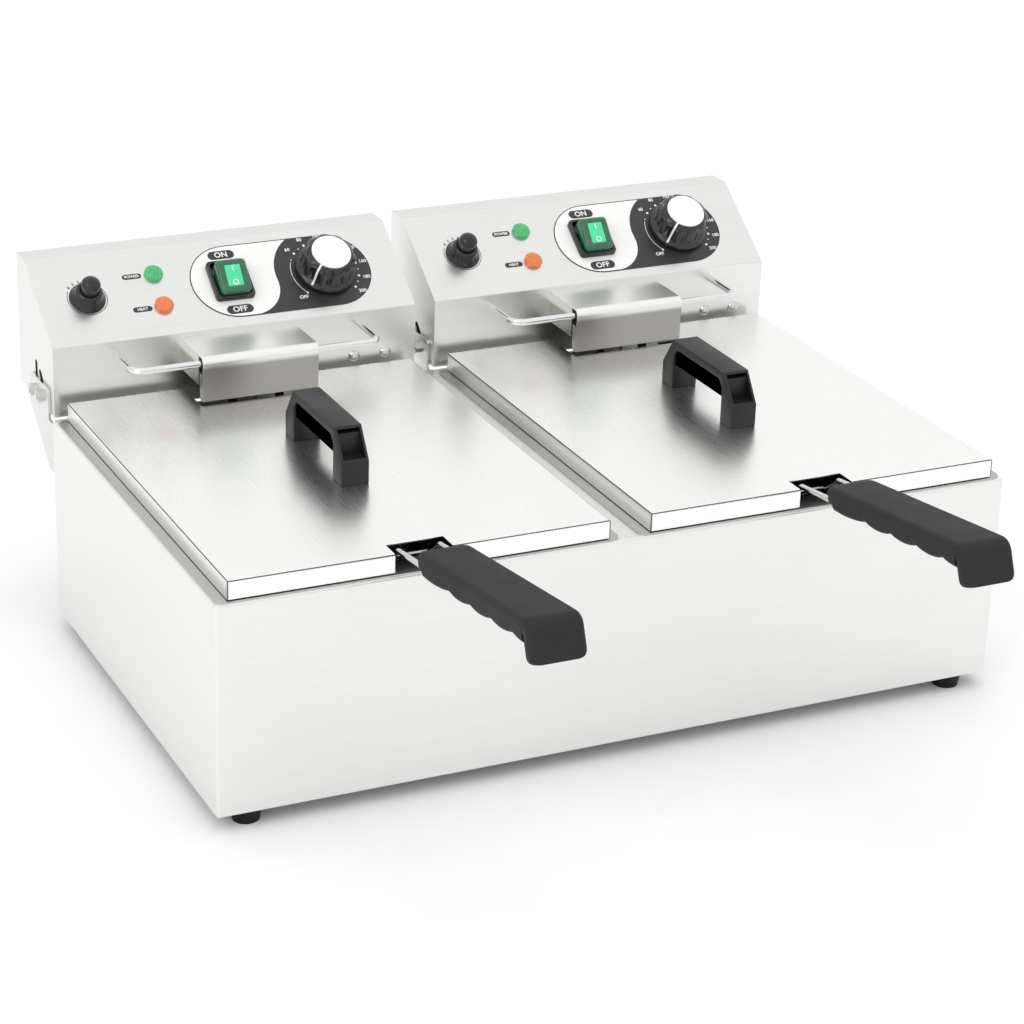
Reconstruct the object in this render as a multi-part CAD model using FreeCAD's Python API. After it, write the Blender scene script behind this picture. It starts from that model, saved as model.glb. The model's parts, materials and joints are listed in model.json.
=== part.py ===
import FreeCAD, Part
import math
import os

V = FreeCAD.Vector

# Countertop double deep fryer: one wide sheet-metal casing with two oil tanks, each with its own
# lid, basket and control head.  Millimetres.  X runs along the front (right), Y from front to
# back, Z up.  The origin is on the table, under the middle of the casing.

# ---------------------------------------------------------------- driving dimensions
casing_width = 580.0
casing_depth = 340.0
casing_height = 148.5
sheet = 1.0                       # casing and control head sheet
foot_height = 11.0
foot_top_radius = 11.0
foot_tip_radius = 9.0
foot_inset_side = 24.0
foot_inset_end = 13.0

foot_recess_radius = 4.0
foot_recess_depth = 5.0
base_wall = 12.0                  # turned-up wall of the base plate
casing_bend = 1.8                 # outside radius of the casing's folded edges

module_shift = 3.0                # each fryer's middle, outwards from the middle of its half
touch_gap = 0.3                   # between pieces that only rest near each other

tank_wall = 1.0
tank_end_margin = 22.5            # tank's inside to the casing's front and back, on average
tank_side_margin = 27.5           # tank's inside to the sides of its half of the casing
tank_depth = 120.0
tank_corner = 32.0
tank_floor_round = 12.0
flange_side = 23.5                # from the tank's inside to the flange's edge, left and right
flange_end = 19.0                 # the same, front and back
flange_corner = 7.0
tank_shift = -2.0                 # middle of the tanks, from the middle of the casing

lid_sheet = 0.8
lid_edge = 1.5                    # outside radius of the lid's folded edges
lid_inset = 8.0                   # lid edge inside the flange edge, left and right
lid_inset_end = 1.5
lid_height = 12.9
lid_lift_gap = 0.6                # lid skirt above the flange
lid_notch_clear = 3.5             # front notch beside the basket wires that come out of it
lid_notch_depth = 16.0

lid_handle_length = 104.0
lid_handle_width = 20.0
lid_handle_height = 37.5
lid_handle_leg = 16.0
lid_handle_bar = 6.5
lid_handle_shoulder = 16.5        # height where the outer corner starts to slope
lid_handle_slope = 14.5           # how far the sloping corner leans in
lid_handle_rim = 2.2
lid_screw_radius = 2.0
lid_screw_head = 4.0
lid_screw_inset = 8.0             # from the handle's end
lid_screw_grip = 12.0             # length of screw inside the handle
screw_clearance = 0.1

head_side_margin = 5.0            # head's side inside the edge of its half of the casing
head_depth = 84.5
head_gap = 2.0                    # front panel behind the casing's rear face
head_lift = 1.0                   # head underside above the deck
head_panel_height = 52.3
head_slope_run = 64.0
head_slope_rise = 46.0
head_bend = 1.6
base_lip = 2.5                    # lip round the head's base tray, below the hinge bolts

guard_width = 88.0
guard_lip_radius = 5.5            # outside of the rolled lip that covers the rod
guard_side_height = 23.5
guard_lip_drop = 13.0             # from the lip's top to its lower edge
guard_face_height = 23.5
guard_overlap = 3.5               # guard's face behind its lip
guard_flange = 8.0                # side returns of the guard's face
guard_front_clear = 1.5           # guard face behind the lid notch's edge, lip included
lid_guard_clear = 2.0             # lid notch beside the guard

rod_radius = 2.5
rod_side_margin = 46.0            # rod's ends to the head's sides
rod_bend = 9.0
rod_rise = 44.0                   # rod above the deck
rod_reach = 42.0                  # rod's cross run in front of the panel

element_radius = 3.5
element_leg_offset = 18.0
element_pitch = 36.0
element_drop_clear = 5.0          # element leg to the tank's rear wall
element_floor_gap = 8.5
element_basket_gap = 15.0         # top of the element to the basket's floor
element_rise = 32.5               # element terminals above the deck
element_tail = 20.0               # terminals behind the head's front panel
element_near = 55.0               # loops' rear turns in front of the legs
element_far = 39.0                # loops' front turns behind the tank's front wall
element_middle_far = 34.0         # middle run stops this much short of the others
element_bend = 14.0
element_opening = (34.0, 10.0)    # half width and half height, in the head's front panel
element_plate_half = (42.0, 14.0)
element_plate_sheet = 2.0
bulb_radius = 3.0
bulb_length = 70.0
bulb_reach = 25.0                 # bulb's rear end in front of the element's legs
bulb_gap = 6.0                    # bulb's middle above the element
capillary_radius = 1.2
capillary_bend = 7.0

basket_wall = 1.2
basket_side_gap = 13.5            # to the tank's inside
basket_front_gap = 8.5
basket_rear_gap = 24.0            # to the element's legs
basket_corner = 22.0
rim_radius = 2.5
wire_radius = 2.0
wire_half_gap = 14.5
wire_tank_clear = 4.0             # the wires' low bend behind the tank's front edge

grip_wall = 2.5                   # plastic beside the wires
grip_length = 163.0
grip_wire_depth = 70.0            # how far the wires run into the grip
grip_edge = 4.0                   # rounding of the grip's top edges
grip_rise = 13.0                  # grip's rear end above the lid
grip_depth = 13.0
grip_scallop = 3.4
grip_scallops = 4
grip_tilt = 7.7                   # degrees, rising towards the hand
grip_start = 23.0                 # grip's rear end in front of the casing
grip_lip_drop = 26.0
grip_lip_reach = 7.5

knob_height = 23.5
knob_skirt_radius = 23.0
knob_body_radius = 19.5
knob_cap_radius = 15.0
knob_gap = 1.0
spindle_radius = 3.0
spindle_hole_radius = 5.0
spindle_depth = 20.0
running_clearance = 0.05

rocker_half_width = 10.3
rocker_half_length = 12.5
switch_frame = (4.7, 4.5)         # rim beyond the rocker, at its sides and its ends
switch_box = (1.3, 1.5)           # box behind the panel beyond the rocker, the same
switch_rim = 5.0
switch_depth = 24.0
rocker_side_clear = 0.5
rocker_well_clear = 0.8
rocker_well_depth = 4.5
rocker_top = 12.5
rocker_tilt = 14.0                # each way from level
rocker_sweep = 2.4                # room at each end of the rocker as it tilts
trunnion_radius = 1.5

lamp_radius = 7.0
lamp_stem_radius = 4.8
lamp_height = 3.0
lamp_stem_length = 22.0
reset_skirt_radius = 12.5
reset_button_radius = 7.0
reset_height = 22.0
reset_stem_radius = 2.5
reset_hole_radius = 4.0
cutout_bore_radius = 3.2
thermostat_half = (18.0, 16.0)
thermostat_depth = 29.0

label_sheet = 0.3                 # printed film round the switch and the knob
label_radius = 32.3
label_length = 140.5
label_gap = 0.2

# places on the sloping control face: across from the head's middle, and up from its lower bend
label_at = (45.75, 39.6)
knob_at = (80.0, 39.4)
switch_at = (5.2, 39.4)
reset_at = (-103.5, 39.4)
power_lamp_at = (-49.6, 53.6)
heat_lamp_at = (-49.6, 25.2)

bracket_sheet = 1.8
bracket_gap = 0.2
bracket_top = 20.0                # above the deck
bracket_drop = 41.0               # below the deck
hinge_bolt_radius = 2.5
bracket_front = 8.0               # plate's front edge behind the head's front panel
bracket_rear = (50.0, 56.0)       # plate's rear edge, at its top and at the deck
bracket_step = 3.0                # plate's foot starts this much below the deck
bracket_foot = 14.0               # foot's reach across the casing's back
bolt_head_radius = 4.6
bolt_head_height = 3.0
bolt_nut_height = 3.6
bolt_end = 1.0                    # thread beyond the nut
rear_bolt_at = (42.0, 8.5)        # behind the head's front panel, above the deck
front_bolt_at = (25.0, 9.5)
slot_width = 5.4
slot_rise = 20.0                  # straight slot above the rear bolt
slot_turn = 58.0                  # degrees, curved slot from the front bolt

panel_screw_at = (91.0, 116.0)    # across from the head's middle
panel_screw_rise = 18.3           # above the deck
panel_screw_radius = 2.0

vent_width = 4.0
rear_vents = (9, 14.0, 40.0, 80.0)      # how many behind each tank, their pitch, lowest, highest
base_vents = (8, 16.0, 45.0)            # how many below each tank, their pitch, half length
head_vents = (7, 12.0, 40.0, 70.0)      # how many in each head, their pitch, lowest, highest
head_vents_shift = -24.0                # middle of the head's vents from the head's middle

terminal_size = (44.0, 18.0, 16.0)
terminal_at = (100.0, 52.0)       # across from the head's middle, behind its front panel
terminal_well = 3.0

gland_bore = 8.0
gland_radius = 11.0
gland_stem_radius = 8.0
gland_nut = 5.0
gland_dome = 7.0
gland_locknut = 3.0
gland_at = (105.0, 26.0)          # across from the head's middle, above the head's underside

# ---------------------------------------------------------------- derived places
deck = foot_height + casing_height
front = -casing_depth / 2
rear = casing_depth / 2
half_width = casing_width / 2
module_x_place = half_width / 2 + module_shift
modules = {"left": -module_x_place, "right": module_x_place}
tank_length = casing_depth - 2 * tank_end_margin
tank_breadth = half_width - 2 * tank_side_margin
head_width = half_width - 2 * head_side_margin
rod_half_span = head_width / 2 - rod_side_margin
lid_notch_width = 2 * (wire_half_gap + wire_radius + lid_notch_clear)
grip_width = 2 * (wire_half_gap + wire_radius + grip_wall)
switch_width = 2 * (rocker_half_width + switch_frame[0])
switch_length = 2 * (rocker_half_length + switch_frame[1])
switch_box_half = (rocker_half_width + switch_box[0], rocker_half_length + switch_box[1])

flange_top = deck + sheet
tank_floor = deck - tank_depth
tank_front = tank_shift - tank_length / 2
tank_rear = tank_shift + tank_length / 2

lid_bottom = flange_top + lid_lift_gap
lid_top = lid_bottom + lid_height
lid_half_width = tank_breadth / 2 + flange_side - lid_inset
lid_front = tank_front - flange_end + lid_inset_end
lid_rear = tank_rear + flange_end - lid_inset_end

panel_y = rear + head_gap
head_bottom = deck + head_lift
slope_bottom_z = head_bottom + head_panel_height
slope_angle = math.degrees(math.atan2(head_slope_rise, head_slope_run))
head_rear = panel_y + head_depth
head_top = slope_bottom_z + head_slope_rise

rod_y = panel_y - rod_reach
rod_z = deck + rod_rise
guard_top = rod_z + guard_lip_radius
guard_front = rod_y - guard_lip_radius
lid_rear_notch = guard_front - guard_front_clear

element_y = tank_rear - element_drop_clear - element_radius
element_z = deck + element_rise
element_low_z = tank_floor + element_floor_gap + element_radius

basket_half = tank_breadth / 2 - basket_side_gap
basket_front = tank_front + basket_front_gap
basket_rear = element_y - element_radius - basket_rear_gap
basket_floor = element_low_z + element_radius + element_basket_gap
rim_z = deck + 1.0


# ---------------------------------------------------------------- helpers
def box(x0, x1, y0, y1, z0, z1):
    return Part.makeBox(x1 - x0, y1 - y0, z1 - z0, V(x0, y0, z0))


def cylinder(radius, start, end):
    axis = V(*end) - V(*start)
    return Part.makeCylinder(radius, axis.Length, V(*start), axis)


def side_prism(outline, x0, x1):
    """Extrude an outline of (y, z) points along X."""
    points = [V(x0, y, z) for y, z in outline]
    wire = Part.makePolygon(points + [points[0]])
    return Part.Face(wire).extrude(V(x1 - x0, 0, 0))


def round_edges(shape, radius, choose):
    edges = [edge for edge in shape.Edges if choose(edge)]
    return shape.makeFillet(radius, edges) if edges else shape


def runs_along(edge, axis):
    if not isinstance(edge.Curve, (Part.Line, Part.LineSegment)):
        return False
    ends = [vertex.Point for vertex in edge.Vertexes]
    direction = (ends[1] - ends[0]).normalize()
    return abs(direction.dot(V(*axis))) > 0.999


def tops_at(z):
    """Chooses the edges whose highest point is at one height."""
    return lambda edge: abs(edge.BoundBox.ZMax - z) < 0.01


def hexagon(radius, place):
    """Corners of a hexagon, each put in place by a function of its two coordinates."""
    angles = [math.radians(60 * n) for n in range(7)]
    return Part.Face(Part.makePolygon([place(radius * math.cos(a), radius * math.sin(a)) for a in angles]))


def rounded_box(x0, x1, y0, y1, z0, z1, radius, axis=(0, 0, 1)):
    """A box with its four edges along one axis rounded."""
    return round_edges(box(x0, x1, y0, y1, z0, z1), radius, lambda e: runs_along(e, axis))


def bent_path(points, bend):
    """Straight runs through the points, joined by tangent arcs."""
    edges = []
    here = V(*points[0])
    for before, corner, after in zip(points, points[1:], points[2:]):
        corner = V(*corner)
        back = (V(*before) - corner).normalize()
        ahead = (V(*after) - corner).normalize()
        half_turn = (math.pi - back.getAngle(ahead)) / 2
        reach = bend * math.tan(half_turn)
        start = corner + back * reach
        end = corner + ahead * reach
        inward = (back + ahead).normalize()
        middle = corner + inward * (bend / math.cos(half_turn) - bend)
        edges.append(Part.LineSegment(here, start).toShape())
        edges.append(Part.Arc(start, middle, end).toShape())
        here = end
    edges.append(Part.LineSegment(here, V(*points[-1])).toShape())
    return Part.Wire(edges)


def tube(points, radius, bend):
    """A round rod or tube bent along straight runs."""
    path = bent_path(points, bend)
    start = V(*points[0])
    direction = V(*points[1]) - start
    profile = Part.Wire([Part.makeCircle(radius, start, direction)])
    return path.makePipeShell([profile], True, False)


def on_slope(shape, across, up, module_x):
    """Put a shape made round the origin, facing +Z, on the sloping control face."""
    angle = math.radians(slope_angle)
    place = V(module_x + across, panel_y + up * math.cos(angle), slope_bottom_z + up * math.sin(angle))
    shape.Placement = FreeCAD.Placement(place, FreeCAD.Rotation(V(1, 0, 0), slope_angle))
    return shape


def spun(outline):
    """Turn an outline of (radius, z) points about Z."""
    points = [V(r, 0, z) for r, z in outline]
    face = Part.Face(Part.makePolygon(points + [points[0]]))
    return face.revolve(V(0, 0, 0), V(0, 0, 1), 360)


def moved(shape, x=0.0, y=0.0, z=0.0):
    shape = shape.copy()
    shape.translate(V(x, y, z))
    return shape


def save(name, shapes):
    """One STEP file per node; a node of several like pieces keeps them as separate solids."""
    shape = shapes if not isinstance(shapes, list) else Part.makeCompound(shapes)
    if not isinstance(shapes, list) and len(shape.Solids) == 1:
        shape = shape.Solids[0]
    shape.exportStep("parts/" + name + ".step")
    print(name, len(shape.Solids), "solids", shape.isValid(), round(shape.Volume, 1))


# ---------------------------------------------------------------- casing
def tank_cavity(module_x, grow, z0, z1, radius):
    half = tank_breadth / 2 + grow
    return rounded_box(module_x - half, module_x + half, tank_front - grow, tank_rear + grow, z0, z1, radius)


def make_casing_shell():
    half = half_width
    shell = box(-half, half, front, rear, foot_height, deck)
    shell = round_edges(shell, casing_bend,
                        lambda e: e.BoundBox.ZMin > foot_height + 1 and e.BoundBox.YMax < rear - 1)
    shell = round_edges(shell, casing_bend, lambda e: runs_along(e, (0, 0, 1)) and e.BoundBox.YMax < 0)
    shell = shell.cut(box(-half + sheet, half - sheet, front + sheet, rear + sheet, 0, deck - sheet))
    for module_x in modules.values():
        grow = tank_wall + touch_gap
        shell = shell.cut(tank_cavity(module_x, grow, deck - 2 * sheet, deck + sheet, tank_corner + grow))
    return shell


def row_of(count, pitch, middle):
    """Places of a row of like pieces about its middle."""
    return [middle + (n - (count - 1) / 2) * pitch for n in range(count)]


def make_rear_panel():
    half = half_width - sheet
    panel = box(-half, half, rear - sheet, rear, foot_height + sheet, deck - sheet)
    count, pitch, low, high = rear_vents
    for module_x in modules.values():
        for x in row_of(count, pitch, module_x):
            panel = panel.cut(box(x - vent_width / 2, x + vent_width / 2, rear - 2 * sheet, rear + sheet,
                                  low, high))
    return panel


def make_base_plate():
    half = half_width - sheet
    top = foot_height + base_wall
    plate = box(-half, half, front + sheet, rear, foot_height, top)
    inner = box(-half + sheet, half - sheet, front + 2 * sheet, rear - 2 * sheet,
                foot_height + sheet, top + sheet)
    plate = plate.cut(inner)
    plate = plate.cut(box(-half, half, rear - sheet, rear + 1, foot_height + sheet, top + sheet))
    count, pitch, reach = base_vents
    for module_x in modules.values():
        for y in row_of(count, pitch, 0.0):
            plate = plate.cut(box(module_x - reach, module_x + reach, y - vent_width / 2, y + vent_width / 2,
                                  0, top))
    return plate


def make_feet():
    feet = []
    for x in (-half_width + foot_inset_side, half_width - foot_inset_side):
        for y in (front + foot_inset_end, rear - foot_inset_end):
            foot = Part.makeCone(foot_tip_radius, foot_top_radius, foot_height, V(x, y, 0))
            feet.append(foot.cut(cylinder(foot_recess_radius, (x, y, -1), (x, y, foot_recess_depth))))
    return feet


def make_tank(module_x):
    half = tank_breadth / 2 + flange_side
    flange = rounded_box(module_x - half, module_x + half, tank_front - flange_end,
                         tank_rear + flange_end, deck, flange_top, flange_corner)
    outer = tank_cavity(module_x, tank_wall, tank_floor - tank_wall, flange_top, tank_corner + tank_wall)
    outer = round_edges(outer, tank_floor_round + tank_wall, tops_at(tank_floor - tank_wall))
    inner = tank_cavity(module_x, 0, tank_floor, flange_top + 5, tank_corner)
    inner = round_edges(inner, tank_floor_round, tops_at(tank_floor))
    return flange.fuse(outer).cut(inner).removeSplitter()


# ---------------------------------------------------------------- lids
def make_lid(module_x):
    half = lid_half_width
    lid = box(module_x - half, module_x + half, lid_front, lid_rear, lid_bottom, lid_top)
    lid = round_edges(lid, lid_edge, lambda e: e.BoundBox.ZMin > lid_bottom + 0.01)
    lid = lid.cut(box(module_x - half + lid_sheet, module_x + half - lid_sheet, lid_front + lid_sheet,
                      lid_rear - lid_sheet, lid_bottom - 1, lid_top - lid_sheet))
    notch = lid_notch_width / 2
    lid = lid.cut(box(module_x - notch, module_x + notch, lid_front - 1, lid_front + lid_notch_depth,
                      lid_bottom - 1, lid_top + 1))
    notch = guard_width / 2 + lid_guard_clear
    lid = lid.cut(box(module_x - notch, module_x + notch, lid_rear_notch, lid_rear + 1,
                      lid_bottom - 1, lid_top + 1))
    for y in handle_screw_places():
        lid = lid.cut(cylinder(lid_screw_radius + screw_clearance, (module_x, y, lid_bottom),
                               (module_x, y, lid_top + 1)))
    return lid


def handle_middle():
    return (lid_front + lid_rear) / 2 + 2.0


def handle_screw_places():
    reach = lid_handle_length / 2 - lid_screw_inset
    return (handle_middle() - reach, handle_middle() + reach)


def make_lid_handle(module_x):
    half = lid_handle_length / 2
    shoulder = half - lid_handle_slope
    outline = [(-half, 0), (-half, lid_handle_shoulder), (-shoulder, lid_handle_height),
               (shoulder, lid_handle_height), (half, lid_handle_shoulder), (half, 0),
               (half - lid_handle_leg, 0), (half - lid_handle_leg, lid_handle_height - lid_handle_bar),
               (-half + lid_handle_leg, lid_handle_height - lid_handle_bar), (-half + lid_handle_leg, 0)]
    handle = side_prism(outline, -lid_handle_width / 2, lid_handle_width / 2)
    handle = round_edges(handle, 1.0, lambda e: runs_along(e, (0, 1, 0)) and e.BoundBox.ZMin > 30)
    pocket = lid_handle_width / 2 - lid_handle_rim
    for side in (-1, 1):
        inner, outer = side * (half - lid_handle_leg + lid_handle_rim), side * (half + 1)
        handle = handle.cut(box(-pocket, pocket, min(inner, outer), max(inner, outer),
                                lid_handle_shoulder, lid_handle_height - lid_handle_rim))
        y = side * (half - lid_screw_inset)
        handle = handle.cut(cylinder(lid_screw_radius, (0, y, -1), (0, y, lid_screw_grip)))
    return moved(handle, module_x, handle_middle(), lid_top)


def make_lid_screws(module_x):
    """Screws up through the lid into the handle's legs."""
    screws = []
    seat = lid_top - lid_sheet
    for y in handle_screw_places():
        shank = cylinder(lid_screw_radius, (module_x, y, seat - 1), (module_x, y, lid_top + lid_screw_grip))
        head = cylinder(lid_screw_head, (module_x, y, seat - lid_screw_head / 2), (module_x, y, seat))
        head = round_edges(head, 0.8, lambda e: e.BoundBox.ZMax < seat - 0.1)
        screws.append(shank.fuse(head).removeSplitter())
    return screws


# ---------------------------------------------------------------- baskets
def make_rim(module_x):
    half = basket_half - basket_wall / 2
    y0 = basket_front + basket_wall / 2
    y1 = basket_rear - basket_wall / 2
    turn = basket_corner - basket_wall / 2
    points = [(module_x, y0, rim_z), (module_x - half, y0, rim_z), (module_x - half, y1, rim_z),
              (module_x + half, y1, rim_z), (module_x + half, y0, rim_z), (module_x, y0, rim_z)]
    return tube(points, rim_radius, turn)


def wire_points(x):
    """Basket wire: up from the rim, out through the lid's notch, then into the grip."""
    slope = math.tan(math.radians(grip_tilt))
    exit_y = lid_front + lid_notch_depth / 2
    exit_z = lid_top - 1.7
    low_y = tank_front + wire_tank_clear
    end_y = front - grip_start - grip_wire_depth
    return [(x, basket_front + basket_wall / 2, rim_z), (x, low_y, rim_z + 1.0), (x, exit_y, exit_z),
            (x, end_y, exit_z + (exit_y - end_y) * slope)]


def make_basket_wires(module_x):
    return [tube(wire_points(module_x + side * wire_half_gap), wire_radius, 4.0) for side in (-1, 1)]


def make_basket_frame(module_x):
    frame = make_rim(module_x)
    for wire in make_basket_wires(module_x):
        frame = frame.fuse(wire)
    return frame.removeSplitter()


def make_basket(module_x):
    body = rounded_box(module_x - basket_half, module_x + basket_half, basket_front, basket_rear,
                       basket_floor, rim_z, basket_corner)
    inner = rounded_box(module_x - basket_half + basket_wall, module_x + basket_half - basket_wall,
                        basket_front + basket_wall, basket_rear - basket_wall,
                        basket_floor + basket_wall, rim_z + 5, basket_corner - basket_wall)
    return body.cut(inner).cut(make_basket_frame(module_x))


def make_grip(module_x):
    """Moulded grip: flat top, finger scallops below and a lip turned down at the end."""
    pitch = grip_length * 0.185
    first = pitch * 1.6
    edges = []

    def at(point):
        return V(-grip_width / 2, -point[0], point[1])

    def line(a, b):
        edges.append(Part.LineSegment(at(a), at(b)).toShape())

    def arc(a, m, b):
        edges.append(Part.Arc(at(a), at(m), at(b)).toShape())

    bend_under = (grip_length - 4.5, -grip_depth - 2.5)
    line((0, -grip_depth), (0, 0))
    line((0, 0), (grip_length, 0))
    line((grip_length, 0), (grip_length + grip_lip_reach, -grip_lip_drop))
    line((grip_length + grip_lip_reach, -grip_lip_drop), (grip_length + 1, -grip_lip_drop - 1))
    line((grip_length + 1, -grip_lip_drop - 1), bend_under)
    here = bend_under
    for cusp in [first + pitch * n for n in reversed(range(grip_scallops))] + [0.0]:
        there = (cusp, -grip_depth)
        middle = ((here[0] + there[0]) / 2, -grip_depth - grip_scallop)
        arc(here, middle, there)
        here = there
    profile = Part.Face(Part.Wire(edges))
    grip = profile.extrude(V(grip_width, 0, 0))
    grip = round_edges(grip, grip_edge, lambda e: runs_along(e, (0, 1, 0)) and e.BoundBox.ZMin > -0.1)
    grip.Placement = FreeCAD.Placement(V(module_x, front - grip_start, lid_top + grip_rise),
                                       FreeCAD.Rotation(V(1, 0, 0), -grip_tilt))
    for wire in make_basket_wires(module_x):
        grip = grip.cut(wire)
    return grip


# ---------------------------------------------------------------- control heads
def head_outline(inset):
    """Side outline of a control head, moved inwards by a sheet's thickness."""
    angle = math.radians(slope_angle)
    y0 = panel_y + inset
    z1 = head_top - inset
    step = inset / math.cos(angle)
    low_z = slope_bottom_z - step + inset * math.tan(angle)
    high_y = panel_y + head_slope_run + (step - inset) / math.tan(angle)
    return [(y0, head_bottom - inset), (y0, low_z), (high_y, z1), (head_rear + inset, z1),
            (head_rear + inset, head_bottom - inset)]


def bolt_places():
    return [(panel_y + y, deck + z) for y, z in (rear_bolt_at, front_bolt_at)]


def make_slots(x0, x1):
    """Guide slots that run up from the two bolts in a head's side wall."""
    (rear_y, rear_z), (front_y, front_z) = bolt_places()
    arm = rear_y - front_y
    turn = math.radians(slot_turn)
    half = slot_width / 2
    straight = box(x0, x1, rear_y - half, rear_y + half, rear_z, rear_z + slot_rise)
    straight = straight.fuse(cylinder(half, (x0, rear_y, rear_z), (x1, rear_y, rear_z)))
    top_z = rear_z + slot_rise
    straight = straight.fuse(cylinder(half, (x0, rear_y, top_z), (x1, rear_y, top_z)))
    ring = cylinder(arm + half, (x0, rear_y, front_z), (x1, rear_y, front_z))
    ring = ring.cut(cylinder(arm - half, (x0, rear_y, front_z), (x1, rear_y, front_z)))
    wedge = side_prism([(rear_y, front_z), (rear_y - 2 * arm, front_z),
                        (rear_y - 2 * arm * math.cos(turn / 2), front_z + 2 * arm * math.sin(turn / 2)),
                        (rear_y - 2 * arm * math.cos(turn), front_z + 2 * arm * math.sin(turn))], x0, x1)
    curved = ring.common(wedge)
    for angle in (0, turn):
        y, z = rear_y - arm * math.cos(angle), front_z + arm * math.sin(angle)
        curved = curved.fuse(cylinder(half, (x0, y, z), (x1, y, z)))
    return [straight, curved]


def make_head_cover(module_x):
    half = head_width / 2
    x0, x1 = module_x - half, module_x + half
    cover = side_prism(head_outline(0), x0, x1)
    cover = round_edges(cover, head_bend, lambda e: runs_along(e, (1, 0, 0)) and
                        e.BoundBox.ZMin > slope_bottom_z - 1 and e.BoundBox.YMax < head_rear - 1)
    inner = side_prism(head_outline(sheet), x0 + sheet, x1 - sheet)
    cover = cover.cut(inner)
    for place, radius in ((knob_at, spindle_hole_radius), (reset_at, reset_hole_radius),
                          (power_lamp_at, lamp_stem_radius), (heat_lamp_at, lamp_stem_radius)):
        cover = cover.cut(on_slope(Part.makeCylinder(radius, 12, V(0, 0, -6)), *place, module_x))
    half_x, half_y = switch_box_half
    cover = cover.cut(on_slope(box(-half_x, half_x, -half_y, half_y, -6, 6), *switch_at, module_x))
    half_x, half_z = element_opening
    cover = cover.cut(box(module_x - half_x, module_x + half_x, panel_y - 1, panel_y + 2 * sheet,
                          element_z - half_z, element_z + half_z))
    for side in (-1, 1):
        x = module_x + side * rod_half_span
        cover = cover.cut(cylinder(rod_radius, (x, panel_y - 1, rod_z), (x, panel_y + 3, rod_z)))
    for x, z in screw_places(module_x):
        cover = cover.cut(cylinder(panel_screw_radius, (x, panel_y - 1, z), (x, panel_y + 3, z)))
    for wall in (x0, x1):
        for slot in make_slots(wall - 2 * sheet, wall + 2 * sheet):
            cover = cover.cut(slot)
    return cover


def screw_places(module_x):
    return [(module_x + x, deck + panel_screw_rise) for x in panel_screw_at]


def make_panel_screws(module_x):
    screws = []
    for x, z in screw_places(module_x):
        dome = Part.makeSphere(5.0, V(0, 0, -2.0)).common(box(-6, 6, -6, 6, 0, 6))
        cross = box(-0.5, 0.5, -2.0, 2.0, 2.0, 4).fuse(box(-2.0, 2.0, -0.5, 0.5, 2.0, 4))
        dome = dome.cut(cross).fuse(Part.makeCylinder(panel_screw_radius, 9, V(0, 0, -9))).removeSplitter()
        dome.Placement = FreeCAD.Placement(V(x, panel_y, z), FreeCAD.Rotation(V(1, 0, 0), 90))
        screws.append(dome)
    return screws


def make_head_base(module_x):
    half = head_width / 2 - sheet
    y0, y1 = panel_y + sheet, head_rear - sheet
    plate = box(module_x - half, module_x + half, y0, y1, head_bottom, head_bottom + base_lip)
    return plate.cut(box(module_x - half + sheet, module_x + half - sheet, y0 + sheet, y1 - sheet,
                         head_bottom + sheet, head_bottom + base_lip + 1))


def make_head_rear(module_x):
    half = head_width / 2 - sheet
    cover = box(module_x - half, module_x + half, head_rear - sheet, head_rear, head_bottom, head_top - sheet)
    count, pitch, low, high = head_vents
    for x in row_of(count, pitch, module_x + head_vents_shift):
        cover = cover.cut(box(x - vent_width / 2, x + vent_width / 2, head_rear - 2 * sheet,
                              head_rear + sheet, head_bottom + low, head_bottom + high))
    x, z = gland_place(module_x)
    return cover.cut(cylinder(gland_stem_radius, (x, head_rear - 3, z), (x, head_rear + 1, z)))


def gland_place(module_x):
    return module_x + gland_at[0], head_bottom + gland_at[1]


def make_gland(module_x):
    x, z = gland_place(module_x)
    inside = 9.0
    gland = Part.makeCylinder(gland_stem_radius, inside + gland_nut, V(0, 0, -inside))
    nut = hexagon(gland_radius, lambda x, y: V(x, y, 0)).extrude(V(0, 0, gland_nut))
    dome = Part.makeCone(gland_radius - 2, gland_radius - 4.5, gland_dome, V(0, 0, gland_nut))
    locknut = Part.makeCylinder(gland_radius - 0.5, gland_locknut, V(0, 0, -sheet - gland_locknut))
    gland = gland.fuse([nut, dome, locknut]).cut(Part.makeCylinder(gland_bore / 2, 40, V(0, 0, -20)))
    gland = gland.removeSplitter()
    gland.Placement = FreeCAD.Placement(V(x, head_rear, z), FreeCAD.Rotation(V(1, 0, 0), -90))
    return gland


def make_guard(module_x):
    """Box over the heating element's legs; its rolled lip closes over the hanger rod."""
    half = guard_width / 2
    x0, x1 = module_x - half, module_x + half
    inside = guard_lip_radius - sheet
    top = box(x0, x1, rod_y, panel_y, guard_top - sheet, guard_top)
    lip = cylinder(guard_lip_radius, (x0, rod_y, rod_z), (x1, rod_y, rod_z))
    lip = lip.cut(cylinder(inside, (x0 - 1, rod_y, rod_z), (x1 + 1, rod_y, rod_z)))
    lip = lip.common(box(x0, x1, guard_front, rod_y, rod_z, guard_top))
    drop = box(x0, x1, guard_front, guard_front + sheet, guard_top - guard_lip_drop, rod_z)
    face_top = guard_top - guard_lip_drop + guard_overlap
    face_low = face_top - guard_face_height
    face = box(x0, x1, guard_front + sheet, guard_front + 2 * sheet, face_low, face_top)
    guard = top.fuse([lip, drop, face])
    for side in (-1, 1):
        a, b = module_x + side * half, module_x + side * (half - sheet)
        guard = guard.fuse(box(min(a, b), max(a, b), rod_y + guard_lip_radius - 1, panel_y,
                               guard_top - guard_side_height, guard_top))
        guard = guard.fuse(box(min(a, b), max(a, b), guard_front + sheet,
                               guard_front + guard_flange, face_low, face_top - guard_overlap))
    return guard.removeSplitter()


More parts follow.
